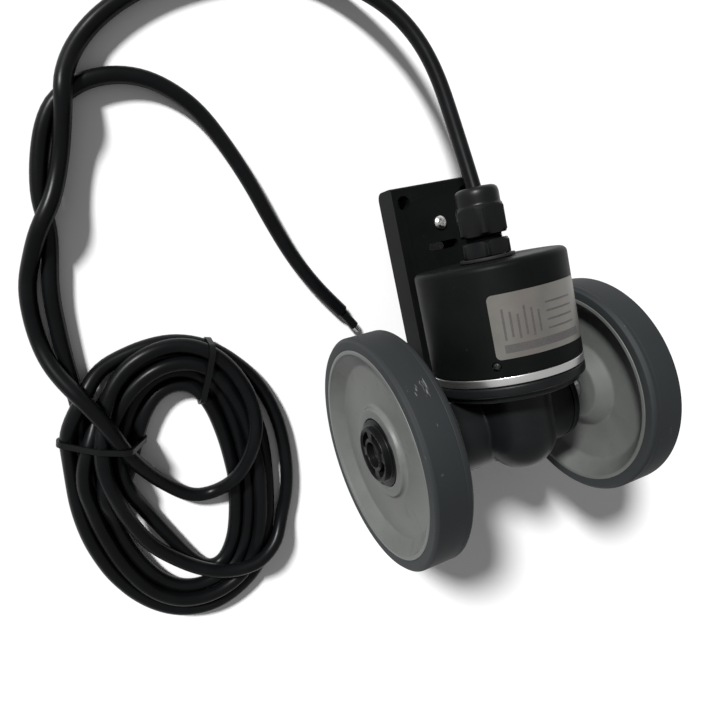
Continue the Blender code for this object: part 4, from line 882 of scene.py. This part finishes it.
class BuildGearbox(Step, bpy.types.Operator):
    """Cast the gearbox housing: barrel, domed well, throat, flange and bracket pad, and its end covers"""

    bl_idname = "encoder.build_gearbox"
    bl_label = "Gearbox"

    def build(self, scene):
        size = in_mm(scene.encoder_body)
        to_shaft = at(0.0, -GEAR_OFFSET)
        to_plate = turned(QUARTER, "X")
        to_line = turned(QUARTER, "Y")
        step, low, high = FLANGE
        well = size.well_radius
        centre = well - WELL_DEPTH
        dome = [(0.0, centre - well), *arc((0.0, centre), well, -QUARTER, 0.0, 18)[1:], (well, low), (0.0, low)]
        side = well - 0.4
        throat = arc((0.0, centre), side, math.pi, math.tau, 32) + [(side, low), (-side, low)]
        rim, stepped = size.cap_radius, size.cap_radius - 2.2
        flange = [
            (0.0, step, 0.0), (stepped, step, 0.3), (stepped, low, 0.0), (rim, low, 0.4), (rim, high, 0.3),
            (0.0, high, 0.0),
        ]
        back = in_mm(scene.encoder_bracket).front - 0.3
        pad_side, front = 16.5, -1.0
        pad = [(-pad_side, front), (pad_side, front), (pad_side, back + OVER), (-pad_side, back + OVER)]
        flat = [(-26, back), (26, back), (26, 18), (-26, 18)]
        operations = [
            ("UNION", placed(turned_mesh(dome, 0.0, 96), to_shaft)),
            ("UNION", placed(prism_mesh(throat, 2.0, GEAR_OFFSET), to_plate)),
            ("UNION", placed(turned_mesh(flange, 0.0, 160), to_shaft)),
            ("UNION", prism_mesh(pad, -15.0, 16.6)),
            ("DIFFERENCE", prism_mesh(flat, -18.0, high)),
            ("DIFFERENCE", placed(rod_mesh(9.2, -26, 26, 96), to_line)),
            ("DIFFERENCE", placed(rod_mesh(8.9, -9.4, 20, 96), to_shaft)),
        ]
        barrel = placed(rod_mesh(size.barrel_radius, -size.barrel_half, size.barrel_half, 128), to_line)
        cast = show("cast", carved(barrel, operations, "MANIFOLD"))
        remesh = cast.modifiers.new("skin", "REMESH")
        remesh.mode = "VOXEL"
        remesh.voxel_size = 0.42
        soften = cast.modifiers.new("soften", "SMOOTH")
        soften.factor = 0.5
        soften.iterations = 7
        mesh = bake(cast)
        bpy.data.objects.remove(cast)
        holes = [
            placed(outward(screw_hole(2.5, 13.9, 1.5, 19, 10)), at(x, y - GEAR_OFFSET)) for x, y in FLANGE_SCREWS
        ]
        finished(
            "gearbox_casting", cut(mesh, *holes), "black_plastic", ["gearbox_housing"], STANCE,
            angle=math.radians(50),
        )
        self.covers(size)

    def covers(self, size):
        inner = size.barrel_half + 0.3
        outer = inner + 2.7
        wide, bore, spigot, seat = size.barrel_radius, 6.5, 8.9, 7.8
        end, groove = inner - 5.6, outer - 0.3
        corners = [
            (bore, outer, 0.3), (9.4, outer, 0.1), (9.7, groove, 0.1), (10.1, groove, 0.1), (10.4, outer, 0.1),
            (wide - 0.8, outer, 0.3), (wide, outer - 0.8, 0.3), (wide, inner, 0.15), (spigot, inner, 0.0),
            (spigot, end, 0.2), (seat, end, 0.1), (seat, inner, 0.0), (bore, inner, 0.1),
        ]
        spots = [((x, y, outer - 1.3), (0.0, 0.0, angle)) for x, y, angle in COVER_SCREWS]
        for side, place in WHEEL_PLACES.items():
            holes = [
                placed(screw_hole(2.5, outer - 1.6, 1.5, inner - 6.0, outer + OVER), at(x, y))
                for x, y, _ in COVER_SCREWS
            ]
            mesh = cut(turned_mesh(corners, segments=144), *holes)
            finished(f"{side}_cover_casting", mesh, "black_plastic", [f"{side}_end_cover"], place)
            screws = scattered(shanked(pan_head(*PAN_HEAD), 1.2, 6.0), spots, "blackened_steel")
            finished(
                f"{side}_cover_screws", screws, "blackened_steel", [f"{side}_cover_screw_{k}" for k in (1, 2)], place
            )


def on_circle(radius, *angles):
    """Places at that radius, at angles in degrees."""
    return [(radius * math.cos(math.radians(a)), radius * math.sin(math.radians(a))) for a in angles]


# Places of the screws, in the frames of the pieces that they hold
COVER_SCREWS = [(*on_circle(12.6, a)[0], math.radians(a)) for a in (-52, 128)]
FLANGE_SCREWS = on_circle(19.0, 200, 340)
CAP_SCREW_TURNS = [math.radians(228.6), math.radians(48.6)]
CAP_SCREW_RISE = 3.3
FIXINGS = [(x * 11.5, z * 12.3) for x, z in ((-1, 1), (1, 1), (-1, -1), (1, -1))]
SCREW_RISE = 70.5
PAN_HEAD = (2.2, 1.2, 0.6)


class BuildEncoder(Step, bpy.types.Operator):
    """Turn the bright base ring and the satin cap, and lay the label on the cap"""

    bl_idname = "encoder.build_encoder"
    bl_label = "Encoder body"

    def build(self, scene):
        size = in_mm(scene.encoder_body)
        self.base(size)
        self.cap(size)
        self.label(size)

    def side_holes(self, start):
        """Cutters for the cap's side screws, which also pass through the base's register."""
        high = at(0.0, 0.0, CAP_LOW + CAP_SCREW_RISE)
        return [placed(rod_mesh(1.5, start, 30, 32), high @ turned(a) @ turned(QUARTER, "Y")) for a in CAP_SCREW_TURNS]

    def base(self, size):
        low, high = RING_HEIGHTS
        wide, spigot, bore, hub = size.cap_radius, 8.6, 6.8, 9.5
        foot, hub_top, register_top = low - 2.5, 34.6, high + 5.6
        corners = [
            (bore, foot, 0.2), (spigot, foot, 0.3), (spigot, low, 0.0), (wide, low, 0.25), (wide, high, 0.25),
            (22.9, high, 0.1), (22.9, register_top, 0.2), (21.5, register_top, 0.2), (21.5, high, 0.2),
            (hub, high, 0.4), (hub, hub_top, 0.4), (bore, hub_top, 0.2),
        ]
        holes = self.side_holes(19.5) + [placed(rod_mesh(1.5, 15, 23, 32), at(x, y)) for x, y in FLANGE_SCREWS]
        finished(
            "base_ring", cut(turned_mesh(corners, segments=200), *holes), "turned_aluminium", ["encoder_base"], SHAFT
        )

    def cap(self, size):
        wide, inner, bore = size.cap_radius, size.cap_radius - size.cap_wall, 6.3
        high = CAP_LOW + size.cap_height
        seat, ceiling = high - 0.18, high - 2.2
        corners = [
            (inner, CAP_LOW, 0.15), (wide, CAP_LOW, 0.3), (wide, high, size.cap_fillet), (9.6, high, 0.0),
            (9.3, seat, 0.0), (bore, seat, 0.2), (bore, ceiling, 0.2), (inner, ceiling, 0.6),
        ]
        mesh = cut(turned_mesh(corners, segments=200), *self.side_holes(20))
        finished("cap_shell", mesh, "black_plastic", ["encoder_cap"], SHAFT, "cap_paint")
        reach, height = 23.5, CAP_LOW + CAP_SCREW_RISE
        spots = [((reach * math.cos(a), reach * math.sin(a), height), (0.0, QUARTER, a)) for a in CAP_SCREW_TURNS]
        screws = scattered(shanked(pan_head(1.2, 0.9, 0.4), 1.15, 3.1), spots, "blackened_steel")
        finished("cap_side_screws", screws, "blackened_steel", ["cap_screw_1", "cap_screw_2"], SHAFT)

    def label(self, size):
        """A thin foil with round corners, bent round the cap."""
        near = size.cap_radius + 0.03
        far = near + 0.3
        half = math.radians(40.5) * far
        low = CAP_LOW + 5.2
        high = low + 19.5
        corner, columns = 1.6, 96
        bm = bmesh.new()
        layer = bm.loops.layers.uv.new("label")
        rows = []
        for i in range(columns + 1):
            along = -half * math.cos(math.pi * i / columns)
            gap = max(0.0, corner - (half - abs(along)))
            drop = corner - math.sqrt(max(0.0, corner**2 - gap**2))
            angle = -QUARTER + along / far
            ring = []
            for radius, height in ((near, low + drop), (far, low + drop), (far, high - drop), (near, high - drop)):
                ring.append(bm.verts.new((radius * math.cos(angle), radius * math.sin(angle), height)))
            rows.append(ring)
        for first, second in zip(rows, rows[1:]):
            for k in range(4):
                bm.faces.new((first[k], second[k], second[(k + 1) % 4], first[(k + 1) % 4]))
        bm.faces.new(rows[0])
        bm.faces.new(rows[-1][::-1])
        bmesh.ops.recalc_face_normals(bm, faces=bm.faces)
        for face in bm.faces:
            for loop in face.loops:
                x, y, z = loop.vert.co
                along = (math.atan2(y, x) + QUARTER) * far + half
                loop[layer].uv = (along / MM_IN_CM, (z - low) / MM_IN_CM)
        mesh = bpy.data.meshes.new("label")
        bm.to_mesh(mesh)
        bm.free()
        finished("label_foil", mesh, "silver_foil", ["label_plate"], SHAFT)


def hexagonal_mesh(flats, rings):
    """A closed loft of (height, radius limit) rings, each the smaller of a hexagon and a circle."""
    sides, sharpness = 144, 36
    bm = bmesh.new()
    made = []
    for height, limit, hexed in rings:
        ring = []
        for i in range(sides):
            angle = math.tau * i / sides
            radius = limit
            if hexed:
                total = sum(max(0.0, math.cos(angle - math.pi * (2 * k + 1) / 6)) ** sharpness for k in range(6))
                radius = min(limit, flats / 2 * total ** (-1.0 / sharpness))
            ring.append(bm.verts.new((radius * math.cos(angle), radius * math.sin(angle), height)))
        made.append(ring)
    for first, second in zip(made, made[1:] + made[:1]):
        for i in range(sides):
            j = (i + 1) % sides
            bm.faces.new((first[i], first[j], second[j], second[i]))
    bmesh.ops.recalc_face_normals(bm, faces=bm.faces)
    mesh = bpy.data.meshes.new("hexagonal")
    bm.to_mesh(mesh)
    bm.free()
    return mesh


class BuildGland(Step, bpy.types.Operator):
    """Make the cable gland: washer, threaded body and dome nut"""

    bl_idname = "encoder.build_gland"
    bl_label = "Cable gland"

    def build(self, scene):
        flats = in_mm(scene.encoder_body).gland_flats
        low, high = WASHER_HEIGHTS
        washer = turned_mesh([(6.3, low - 0.2), (9.0, low - 0.2), (9.0, high), (6.3, high)], 0.3, 96)
        finished("gland_washer_rubber", washer, "seal_rubber", ["gland_washer"], SHAFT)
        finished(
            "gland_body_moulding", hexagonal_mesh(flats, self.body(flats)), "black_nylon", ["gland_body"], SHAFT
        )
        finished("gland_nut_moulding", hexagonal_mesh(flats, self.nut(flats)), "black_nylon", ["gland_nut"], SHAFT)

    def body(self, flats):
        half, corner, thread, bore = flats / 2, flats / math.sqrt(3) + 0.1, THREAD_RADIUS, 3.2
        low, high = HEX_HEIGHTS
        stub, neck, turns = 46.4, 70.0, 20
        rings = [
            (low, corner - 0.6, True), (low + 0.35, corner, True), (high - 0.9, corner, True),
            (high - 0.15, half + 0.05, True), (high, half - 0.3, True), (high, thread + 0.4, False),
        ]
        pitch = (neck - high - 0.6) / turns
        for k in range(turns):
            start = high + 0.2 + pitch * k
            rings += [(start, thread - 0.35, False), (start + pitch * 0.5, thread, False)]
        rings += [(neck, thread - 0.5, False), (neck, bore, False), (stub, bore, False), (stub, thread - 0.4, False)]
        return rings + [(stub + 0.5, thread, False), (low, thread, False)]

    def nut(self, flats):
        half, corner, wide = flats / 2, flats / math.sqrt(3) + 0.1, 7.5
        low, high = NUT_HEIGHTS
        rise = DOME_HIGH - high - 0.3
        mouth, throat, bore, steps = 3.75, 2.95, 6.3, 14
        rings = [
            (low, half - 0.3, True), (low + 0.15, half + 0.05, True), (low + 0.9, corner, True),
            (high - 1.1, corner, True), (high - 0.2, half + 0.15, True), (high + 0.1, half - 0.1, True),
            (high + 0.3, wide - 0.25, False),
        ]
        for k in range(1, steps + 1):
            t = k / steps
            swell = math.sqrt(1.0 - max(0.0, (t - 0.35) / 0.65) ** 2.4) if t < 1 else 0.0
            height = high + 0.3 + rise * (0.35 * t + 0.65 * math.sin(QUARTER * t) ** 1.2)
            rings.append((height, mouth + (wide - 0.3 - mouth) * swell, False))
        rings += [(DOME_HIGH, 3.3, False), (DOME_HIGH - 0.3, throat, False), (DOME_HIGH - 2.4, throat, False)]
        return rings + [(DOME_HIGH - 4.8, bore, False), (low, bore, False)]


class BuildBracket(Step, bpy.types.Operator):
    """Mill the bracket plate with its bolt holes, nut pockets and slot, and fit its screws"""

    bl_idname = "encoder.build_bracket"
    bl_label = "Bracket"

    def build(self, scene):
        size = in_mm(scene.encoder_bracket)
        front, back = size.front, size.front + size.depth
        corners = [(-size.top, front, 1.0), (-size.top, back, 3.0), (size.low, back, 0.6), (size.low, front, 0.6)]
        outline = [tuple(p) for p in rounded(corners, 0.0)]
        plate = placed(prism_mesh(outline, -size.half_width, size.half_width), turned(QUARTER, "Y"))
        near, far = -front + OVER, -back - OVER
        hole_side, hole_rise, pocket_flats, pocket_depth = 12.8, size.top - 5.5, 7.2, 5.0
        slot_rise, slot_end, slot_reach = 62.4, 1.45, 4.75
        shank, head, head_depth, tapped_depth = 1.8, 3.05, 4.0, 8.0
        cuts = []

        def take(mesh, x, z, angle=0.0):
            cuts.append(placed(mesh, turned(QUARTER, "X") @ at(x, z) @ turned(angle)))

        for x in (-hole_side, hole_side):
            take(rod_mesh(size.hole_radius, far, near, 48), x, hole_rise)
            take(prism_mesh(hexagon(pocket_flats), far, -back + pocket_depth), x, hole_rise, math.pi / 6)
        slot = arc((slot_reach, 0.0), slot_end, -QUARTER, QUARTER, 12)
        slot += arc((-slot_reach, 0.0), slot_end, QUARTER, QUARTER * 3, 12)
        take(prism_mesh(slot, far, near), 0.0, slot_rise)
        take(rod_mesh(shank, -front - tapped_depth, near, 32), 0.0, SCREW_RISE)
        for x, z in FIXINGS:
            take(rod_mesh(head, far, -back + head_depth, 40), x, z)
            take(rod_mesh(shank, far, near, 32), x, z)
        body = show("plate", cut(plate, *cuts))
        bevel = body.modifiers.new("edges", "BEVEL")
        bevel.width = 0.35
        bevel.segments = 3
        bevel.limit_method = "ANGLE"
        bevel.angle_limit = math.radians(50)
        bevel.use_clamp_overlap = True
        mesh = bake(body)
        bpy.data.objects.remove(body)
        finished(
            "bracket_plate", mesh, "black_plastic", ["mounting_bracket"], STANCE, "cap_paint", angle=math.radians(28)
        )
        self.screws(front, back)

    def screws(self, front, back):
        small = shanked(pan_head(2.5, 1.6, 0.75), 1.5, 7.6)
        place = PLATE @ at(0.0, SCREW_RISE, -front + 0.05) @ turned(math.radians(20))
        finished("bracket_small_screw", small, "plated_steel", ["bracket_screw"], place)
        spots = [((x, z, 3.95 - back), (math.pi, 0.0, 0.4 * k)) for k, (x, z) in enumerate(FIXINGS)]
        screws = scattered(shanked(socket_head(2.75, 2.4, 2.5), 1.5, 12.0), spots, "blackened_steel")
        finished(
            "bracket_fixing_screws", screws, "blackened_steel", [f"bracket_fixing_{k}" for k in range(1, 5)], PLATE
        )
        spots = [((x, y, 13.6), (math.pi, 0.0, 0.7)) for x, y in FLANGE_SCREWS]
        screws = scattered(shanked(pan_head(*PAN_HEAD), 1.2, 6.6), spots, "blackened_steel")
        finished("flange_screws", screws, "blackened_steel", ["flange_screw_1", "flange_screw_2"], SHAFT)


ROUTE_SPACING = 2.2
EASE_ROUNDS = 6
SETTLE_ROUNDS = 160


def settled(points, radius):
    """Lifts the strands of a cable clear of each other where they cross, and lets them sink where they can."""
    first = np.array([tuple(p) for p in points])
    shift = np.zeros_like(first)
    order = np.arange(len(first))
    own = abs(order[:, None] - order[None]) < 2.5 * math.pi * radius / np.linalg.norm(first[9] - first[8])
    weight = np.minimum(1.0, np.minimum(order, order[::-1]) / 12.0)[:, None]
    least, lowest, sinking = 2.03 * radius, radius + 0.1, 0.03
    for _ in range(SETTLE_ROUNDS):
        line = first + shift
        way = line[:, None] - line[None]
        apart = np.linalg.norm(way, axis=2)
        apart[own] = np.inf
        push = np.maximum(0.0, least - apart) / apart
        shift += 0.3 * (way * push[..., None]).sum(1) * weight
        shift[1:-1] += 0.2 * (shift[:-2] + shift[2:] - 2 * shift[1:-1])
        shift[:, 2] -= sinking * weight[:, 0]
        shift[:, 2] = np.maximum(shift[:, 2], lowest - first[:, 2])
    return [Vector(p) for p in (first + shift).tolist()]


def smooth_route(points, spacing):
    """Points at about that spacing on a smooth curve through all the given ones."""
    line = [points[0] * 2 - points[1], *points, points[-1] * 2 - points[-2]]
    fine = []
    for a, b, c, d in zip(line, line[1:], line[2:], line[3:]):
        steps = max(2, round((c - b).length / spacing))
        for i in range(steps):
            t = i / steps
            fine.append((b * 2 + (c - a) * t + (a * 2 - b * 5 + c * 4 - d) * t**2 + (b * 3 - a - c * 3 + d) * t**3) / 2)
    fine.append(points[-1])
    return fine


def relaxed(points, rounds):
    """Eases a line's kinks without moving its ends."""
    for _ in range(rounds):
        points = [points[0]] + [(a + b * 2 + c) / 4 for a, b, c in zip(points, points[1:], points[2:])] + [points[-1]]
    return points


def tube_curve(name, points, radius, resolution):
    """A round tube along points in millimetres, as a curve in metres."""
    curve = bpy.data.curves.new(name, "CURVE")
    curve.dimensions = "3D"
    curve.bevel_depth = radius * MM
    curve.bevel_resolution = resolution
    curve.use_fill_caps = True
    spline = curve.splines.new("POLY")
    spline.points.add(len(points) - 1)
    for slot, point in zip(spline.points, points):
        slot.co = (*(point * MM), 1.0)
    return show(name, curve)


def facing(place, way):
    """A place whose Z axis points that way."""
    return Matrix.Translation(place) @ way.to_track_quat("Z", "Y").to_matrix().to_4x4()


class BuildCable(Step, bpy.types.Operator):
    """Lay the cable from the gland through its coil to the sleeved end, and tie the coil"""

    bl_idname = "encoder.build_cable"
    bl_label = "Cable"

    def build(self, scene):
        size = in_mm(scene.encoder_cable)
        inside, mouth, leaving = (SHAFT @ Vector((0.0, 0.0, DOME_HIGH + rise)) for rise in (-4, 0, 4))
        lie = [Vector(p) for p in RUN_ROUTE + COIL_ROUTE + TAIL_ROUTE]
        route = relaxed(smooth_route([inside, mouth, leaving, *lie], ROUTE_SPACING), EASE_ROUNDS)
        route = settled(route, size.radius)
        total = sum((b - a).length for a, b in zip(route, route[1:])) * MM
        lead = tube_curve("cable_lead", route, size.radius, 5)
        lead.data.materials.append(FINISHES["cable_sheath"])
        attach(lead, "encoder_frame")
        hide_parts("cable_run", "cable_coil", "cable_tail")
        others = [self.sleeve(size, route), self.lead_ends(), *self.ties(size, route)]

    def sleeve(self, size, route):
        """The thin sleeve over the stripped cores, swollen where it grips the sheath."""
        start, way = route[-1], SLEEVE_END - route[-1]
        reach, wide, grip = way.length, size.sleeve_radius, -2.0
        thin, dip = wide * 0.8, reach - 0.6
        corners = [
            (0.0, grip, 0.0), (wide, grip, 0.2), (wide, reach * 0.3, 0.6), (wide * 0.9, reach * 0.45, 0.8),
            (wide * 0.97, reach, 0.25), (thin, reach, 0.1), (thin, dip, 0.1), (0.0, dip, 0.0),
        ]
        mesh = turned_mesh(corners, 0.2, 48)
        return finished("sleeve_tube", mesh, "black_nylon", ["cable_end_sleeve"], facing(start, way))

    def lead_ends(self):
        """Four tinned cores that stand a little out of the sleeve."""
        way = SLEEVE_END - Vector(TAIL_ROUTE[-1])
        ways = [(math.cos(a), math.sin(a)) for a in (0.4, 1.9, 3.6, 5.1)]
        spots = [((0.65 * x, 0.65 * y, 0.0), (0.1 * y, -0.1 * x, 0.0)) for x, y in ways]
        cores = scattered(rod_mesh(0.5, -1.0, 2.6, 16, 0.15), spots, "plated_steel")
        return finished("lead_ends", cores, "plated_steel", [], facing(SLEEVE_END, way))

    def ties(self, size, route):
        """Bands drawn round the strands that each one crosses."""
        made = []
        for name, ends in TIES.items():
            first, last = (Vector((*end, 0.0)) for end in ends)
            along = (last - first).normalized()
            across = Vector((-along.y, along.x, 0.0))
            spots = []
            for a, b in zip(route, route[1:]):
                near, far = (a - first).dot(across), (b - first).dot(across)
                if near * far < 0:
                    met = a.lerp(b, near / (near - far))
                    reach = (met - first).dot(along)
                    if 0 < reach < (last - first).length:
                        spots.append((reach, met.z))
            outlines = []
            for radius in (size.radius + 0.1, size.radius + 0.9):
                ring = [Vector(q) for spot in spots for q in arc(spot, radius, 0.0, math.tau, 32)]
                outlines.append([(ring[i].x, max(ring[i].y, 0.05)) for i in geometry.convex_hull_2d(ring)])
            wide = size.tie_width / 2
            band = cut(prism_mesh(outlines[1], -wide, wide), prism_mesh(outlines[0], -2 * wide, 2 * wide))
            stand = Matrix((along, Vector((0.0, 0.0, 1.0)), -across)).transposed().to_4x4()
            made.append(finished(f"{name}_band", band, "black_nylon", [name], Matrix.Translation(first) @ stand))
        return made


class FinishInner(Step, bpy.types.Operator):
    """Give every inner piece that keeps its fixed shape its own finish"""

    bl_idname = "encoder.finish_inner"
    bl_label = "Inner pieces"

    def build(self, scene):
        for slot, names in INNER_PIECES.items():
            for name in names:
                node = frame["nodes"][name]
                node.data.materials.clear()
                node.data.materials.append(FINISHES[slot])


INNER_PIECES = {
    "steel": ["axle", "encoder_shaft", "board_post_1", "board_post_2"]
    + [f"{side}_{name}" for side in WHEEL_PLACES for name in ("spacer", "bearing_inner_race", "bearing_outer_race")]
    + [f"shaft_{level}_{race}_race" for level in ("lower", "upper") for race in ("inner", "outer")],
    "brass": ["drive_gear", "driven_gear"],
    "seal_rubber": ["left_axle_seal", "right_axle_seal", "gland_seal"],
    "turned_aluminium": ["disc_hub"],
    "etched_disc": ["code_disc"],
    "green_board": ["circuit_board"],
    "black_nylon": ["light_sensor"],
}


class BuildStage(Step, bpy.types.Operator):
    """Lay the pale ground, set the light and place the camera"""

    bl_idname = "encoder.build_stage"
    bl_label = "Stage"

    def build(self, scene):
        scene.view_settings.view_transform = "Standard"
        bpy.ops.mesh.primitive_plane_add(size=GROUND_WIDTH, location=(0.0, 0.0, GROUND_HEIGHT))
        ground = bpy.context.object
        ground.name = "ground"
        finish = Finish("pale ground")
        finish.set(base_color=shade(scene.encoder_colours.floor), roughness=1.0, specular_ior_level=0.0)
        ground.data.materials.append(finish.material)
        self.world(scene)
        lamp = bpy.data.lights.new("key lamp", "SUN")
        lamp.angle = LAMP_SPREAD
        lamp.energy = LAMP_POWER
        lamp = bpy.data.objects.new("key lamp", lamp)
        scene.collection.objects.link(lamp)
        lamp.location = LAMP_PLACE
        lamp.rotation_euler = Vector(LAMP_PLACE).to_track_quat("Z", "Y").to_euler()
        lens = bpy.data.cameras.new("camera")
        lens.lens = CAMERA_LENS
        lens.clip_start = 0.01
        camera = bpy.data.objects.new("camera", lens)
        scene.collection.objects.link(camera)
        camera.location = CAMERA_PLACE
        camera.rotation_euler = Euler([math.radians(a) for a in CAMERA_TURNS], "XYZ")
        scene.camera = camera

    def world(self, scene):
        """An even room, seen white by the camera and brighter in reflections than it shines."""
        world = bpy.data.worlds.new("studio")
        scene.world = world
        world.use_nodes = True
        tree = Tree(world.node_tree)
        path = tree.tree.nodes.new("ShaderNodeLightPath")
        seen, mirrored = (Value(tree, path.outputs[name]) for name in ("Is Camera Ray", "Is Glossy Ray"))
        background = tree.tree.nodes["Background"]
        background.inputs["Color"].default_value = (1.0, 1.0, 1.0, 1.0)
        strength = seen * (1.0 - WORLD_STRENGTH) + mirrored * MIRRORED_STRENGTH + WORLD_STRENGTH
        tree.tree.links.new(strength.socket, background.inputs["Strength"])


# The stage, in metres, watts per square metre and degrees
GROUND_WIDTH = 6.0
GROUND_HEIGHT = -0.05 * MM
WORLD_STRENGTH = 0.19
MIRRORED_STRENGTH = 0.3
LAMP_PLACE = (-1.16, 1.68, 1.29)
LAMP_POWER = 5.6
LAMP_SPREAD = 0.14  # in radians
CAMERA_LENS = 33.40033  # in millimetres, on a sensor of 36
CAMERA_PLACE = (-0.125628, 0.086985, 0.217085)
CAMERA_TURNS = (-17.521, -25.257, -7.234)


class ENCODER_PT_looks(bpy.types.Panel):
    bl_label = "Wheel encoder"
    bl_space_type = "VIEW_3D"
    bl_region_type = "UI"
    bl_category = "Wheel encoder"

    def draw(self, context):
        for operator in OPERATORS:
            self.layout.operator(operator.bl_idname, text=operator.bl_label)
        for group, place in GROUPS.items():
            for name in group.__annotations__:
                self.layout.prop(getattr(context.scene, place), name)


GROUPS = {
    WheelSizes: "encoder_wheels",
    BodySizes: "encoder_body",
    BracketSizes: "encoder_bracket",
    CableSizes: "encoder_cable",
    Colours: "encoder_colours",
}
OPERATORS = [
    BuildStage, BuildCable, BuildTyres, BuildRims, BuildHubInserts, BuildGearbox, BuildEncoder, BuildGland,
    BuildBracket, FinishInner,
]
FINISHES = {}


def register():
    for group, name in GROUPS.items():
        bpy.utils.register_class(group)
        setattr(bpy.types.Scene, name, bpy.props.PointerProperty(type=group))
    for made in (*OPERATORS, ENCODER_PT_looks):
        bpy.utils.register_class(made)


def unregister():
    for made in (*OPERATORS, ENCODER_PT_looks):
        bpy.utils.unregister_class(made)
    for group, name in GROUPS.items():
        delattr(bpy.types.Scene, name)
        bpy.utils.unregister_class(group)


def main():
    register()
    TREES["turned piece"] = turning_tree()
    TREES["repeated piece"] = scatter_tree()
    FINISHES.update(all_finishes(bpy.context.scene.encoder_colours))
    for operator in OPERATORS:
        family, name = operator.bl_idname.split(".")
        getattr(getattr(bpy.ops, family), name)()


if __name__ == "__main__":
    main()
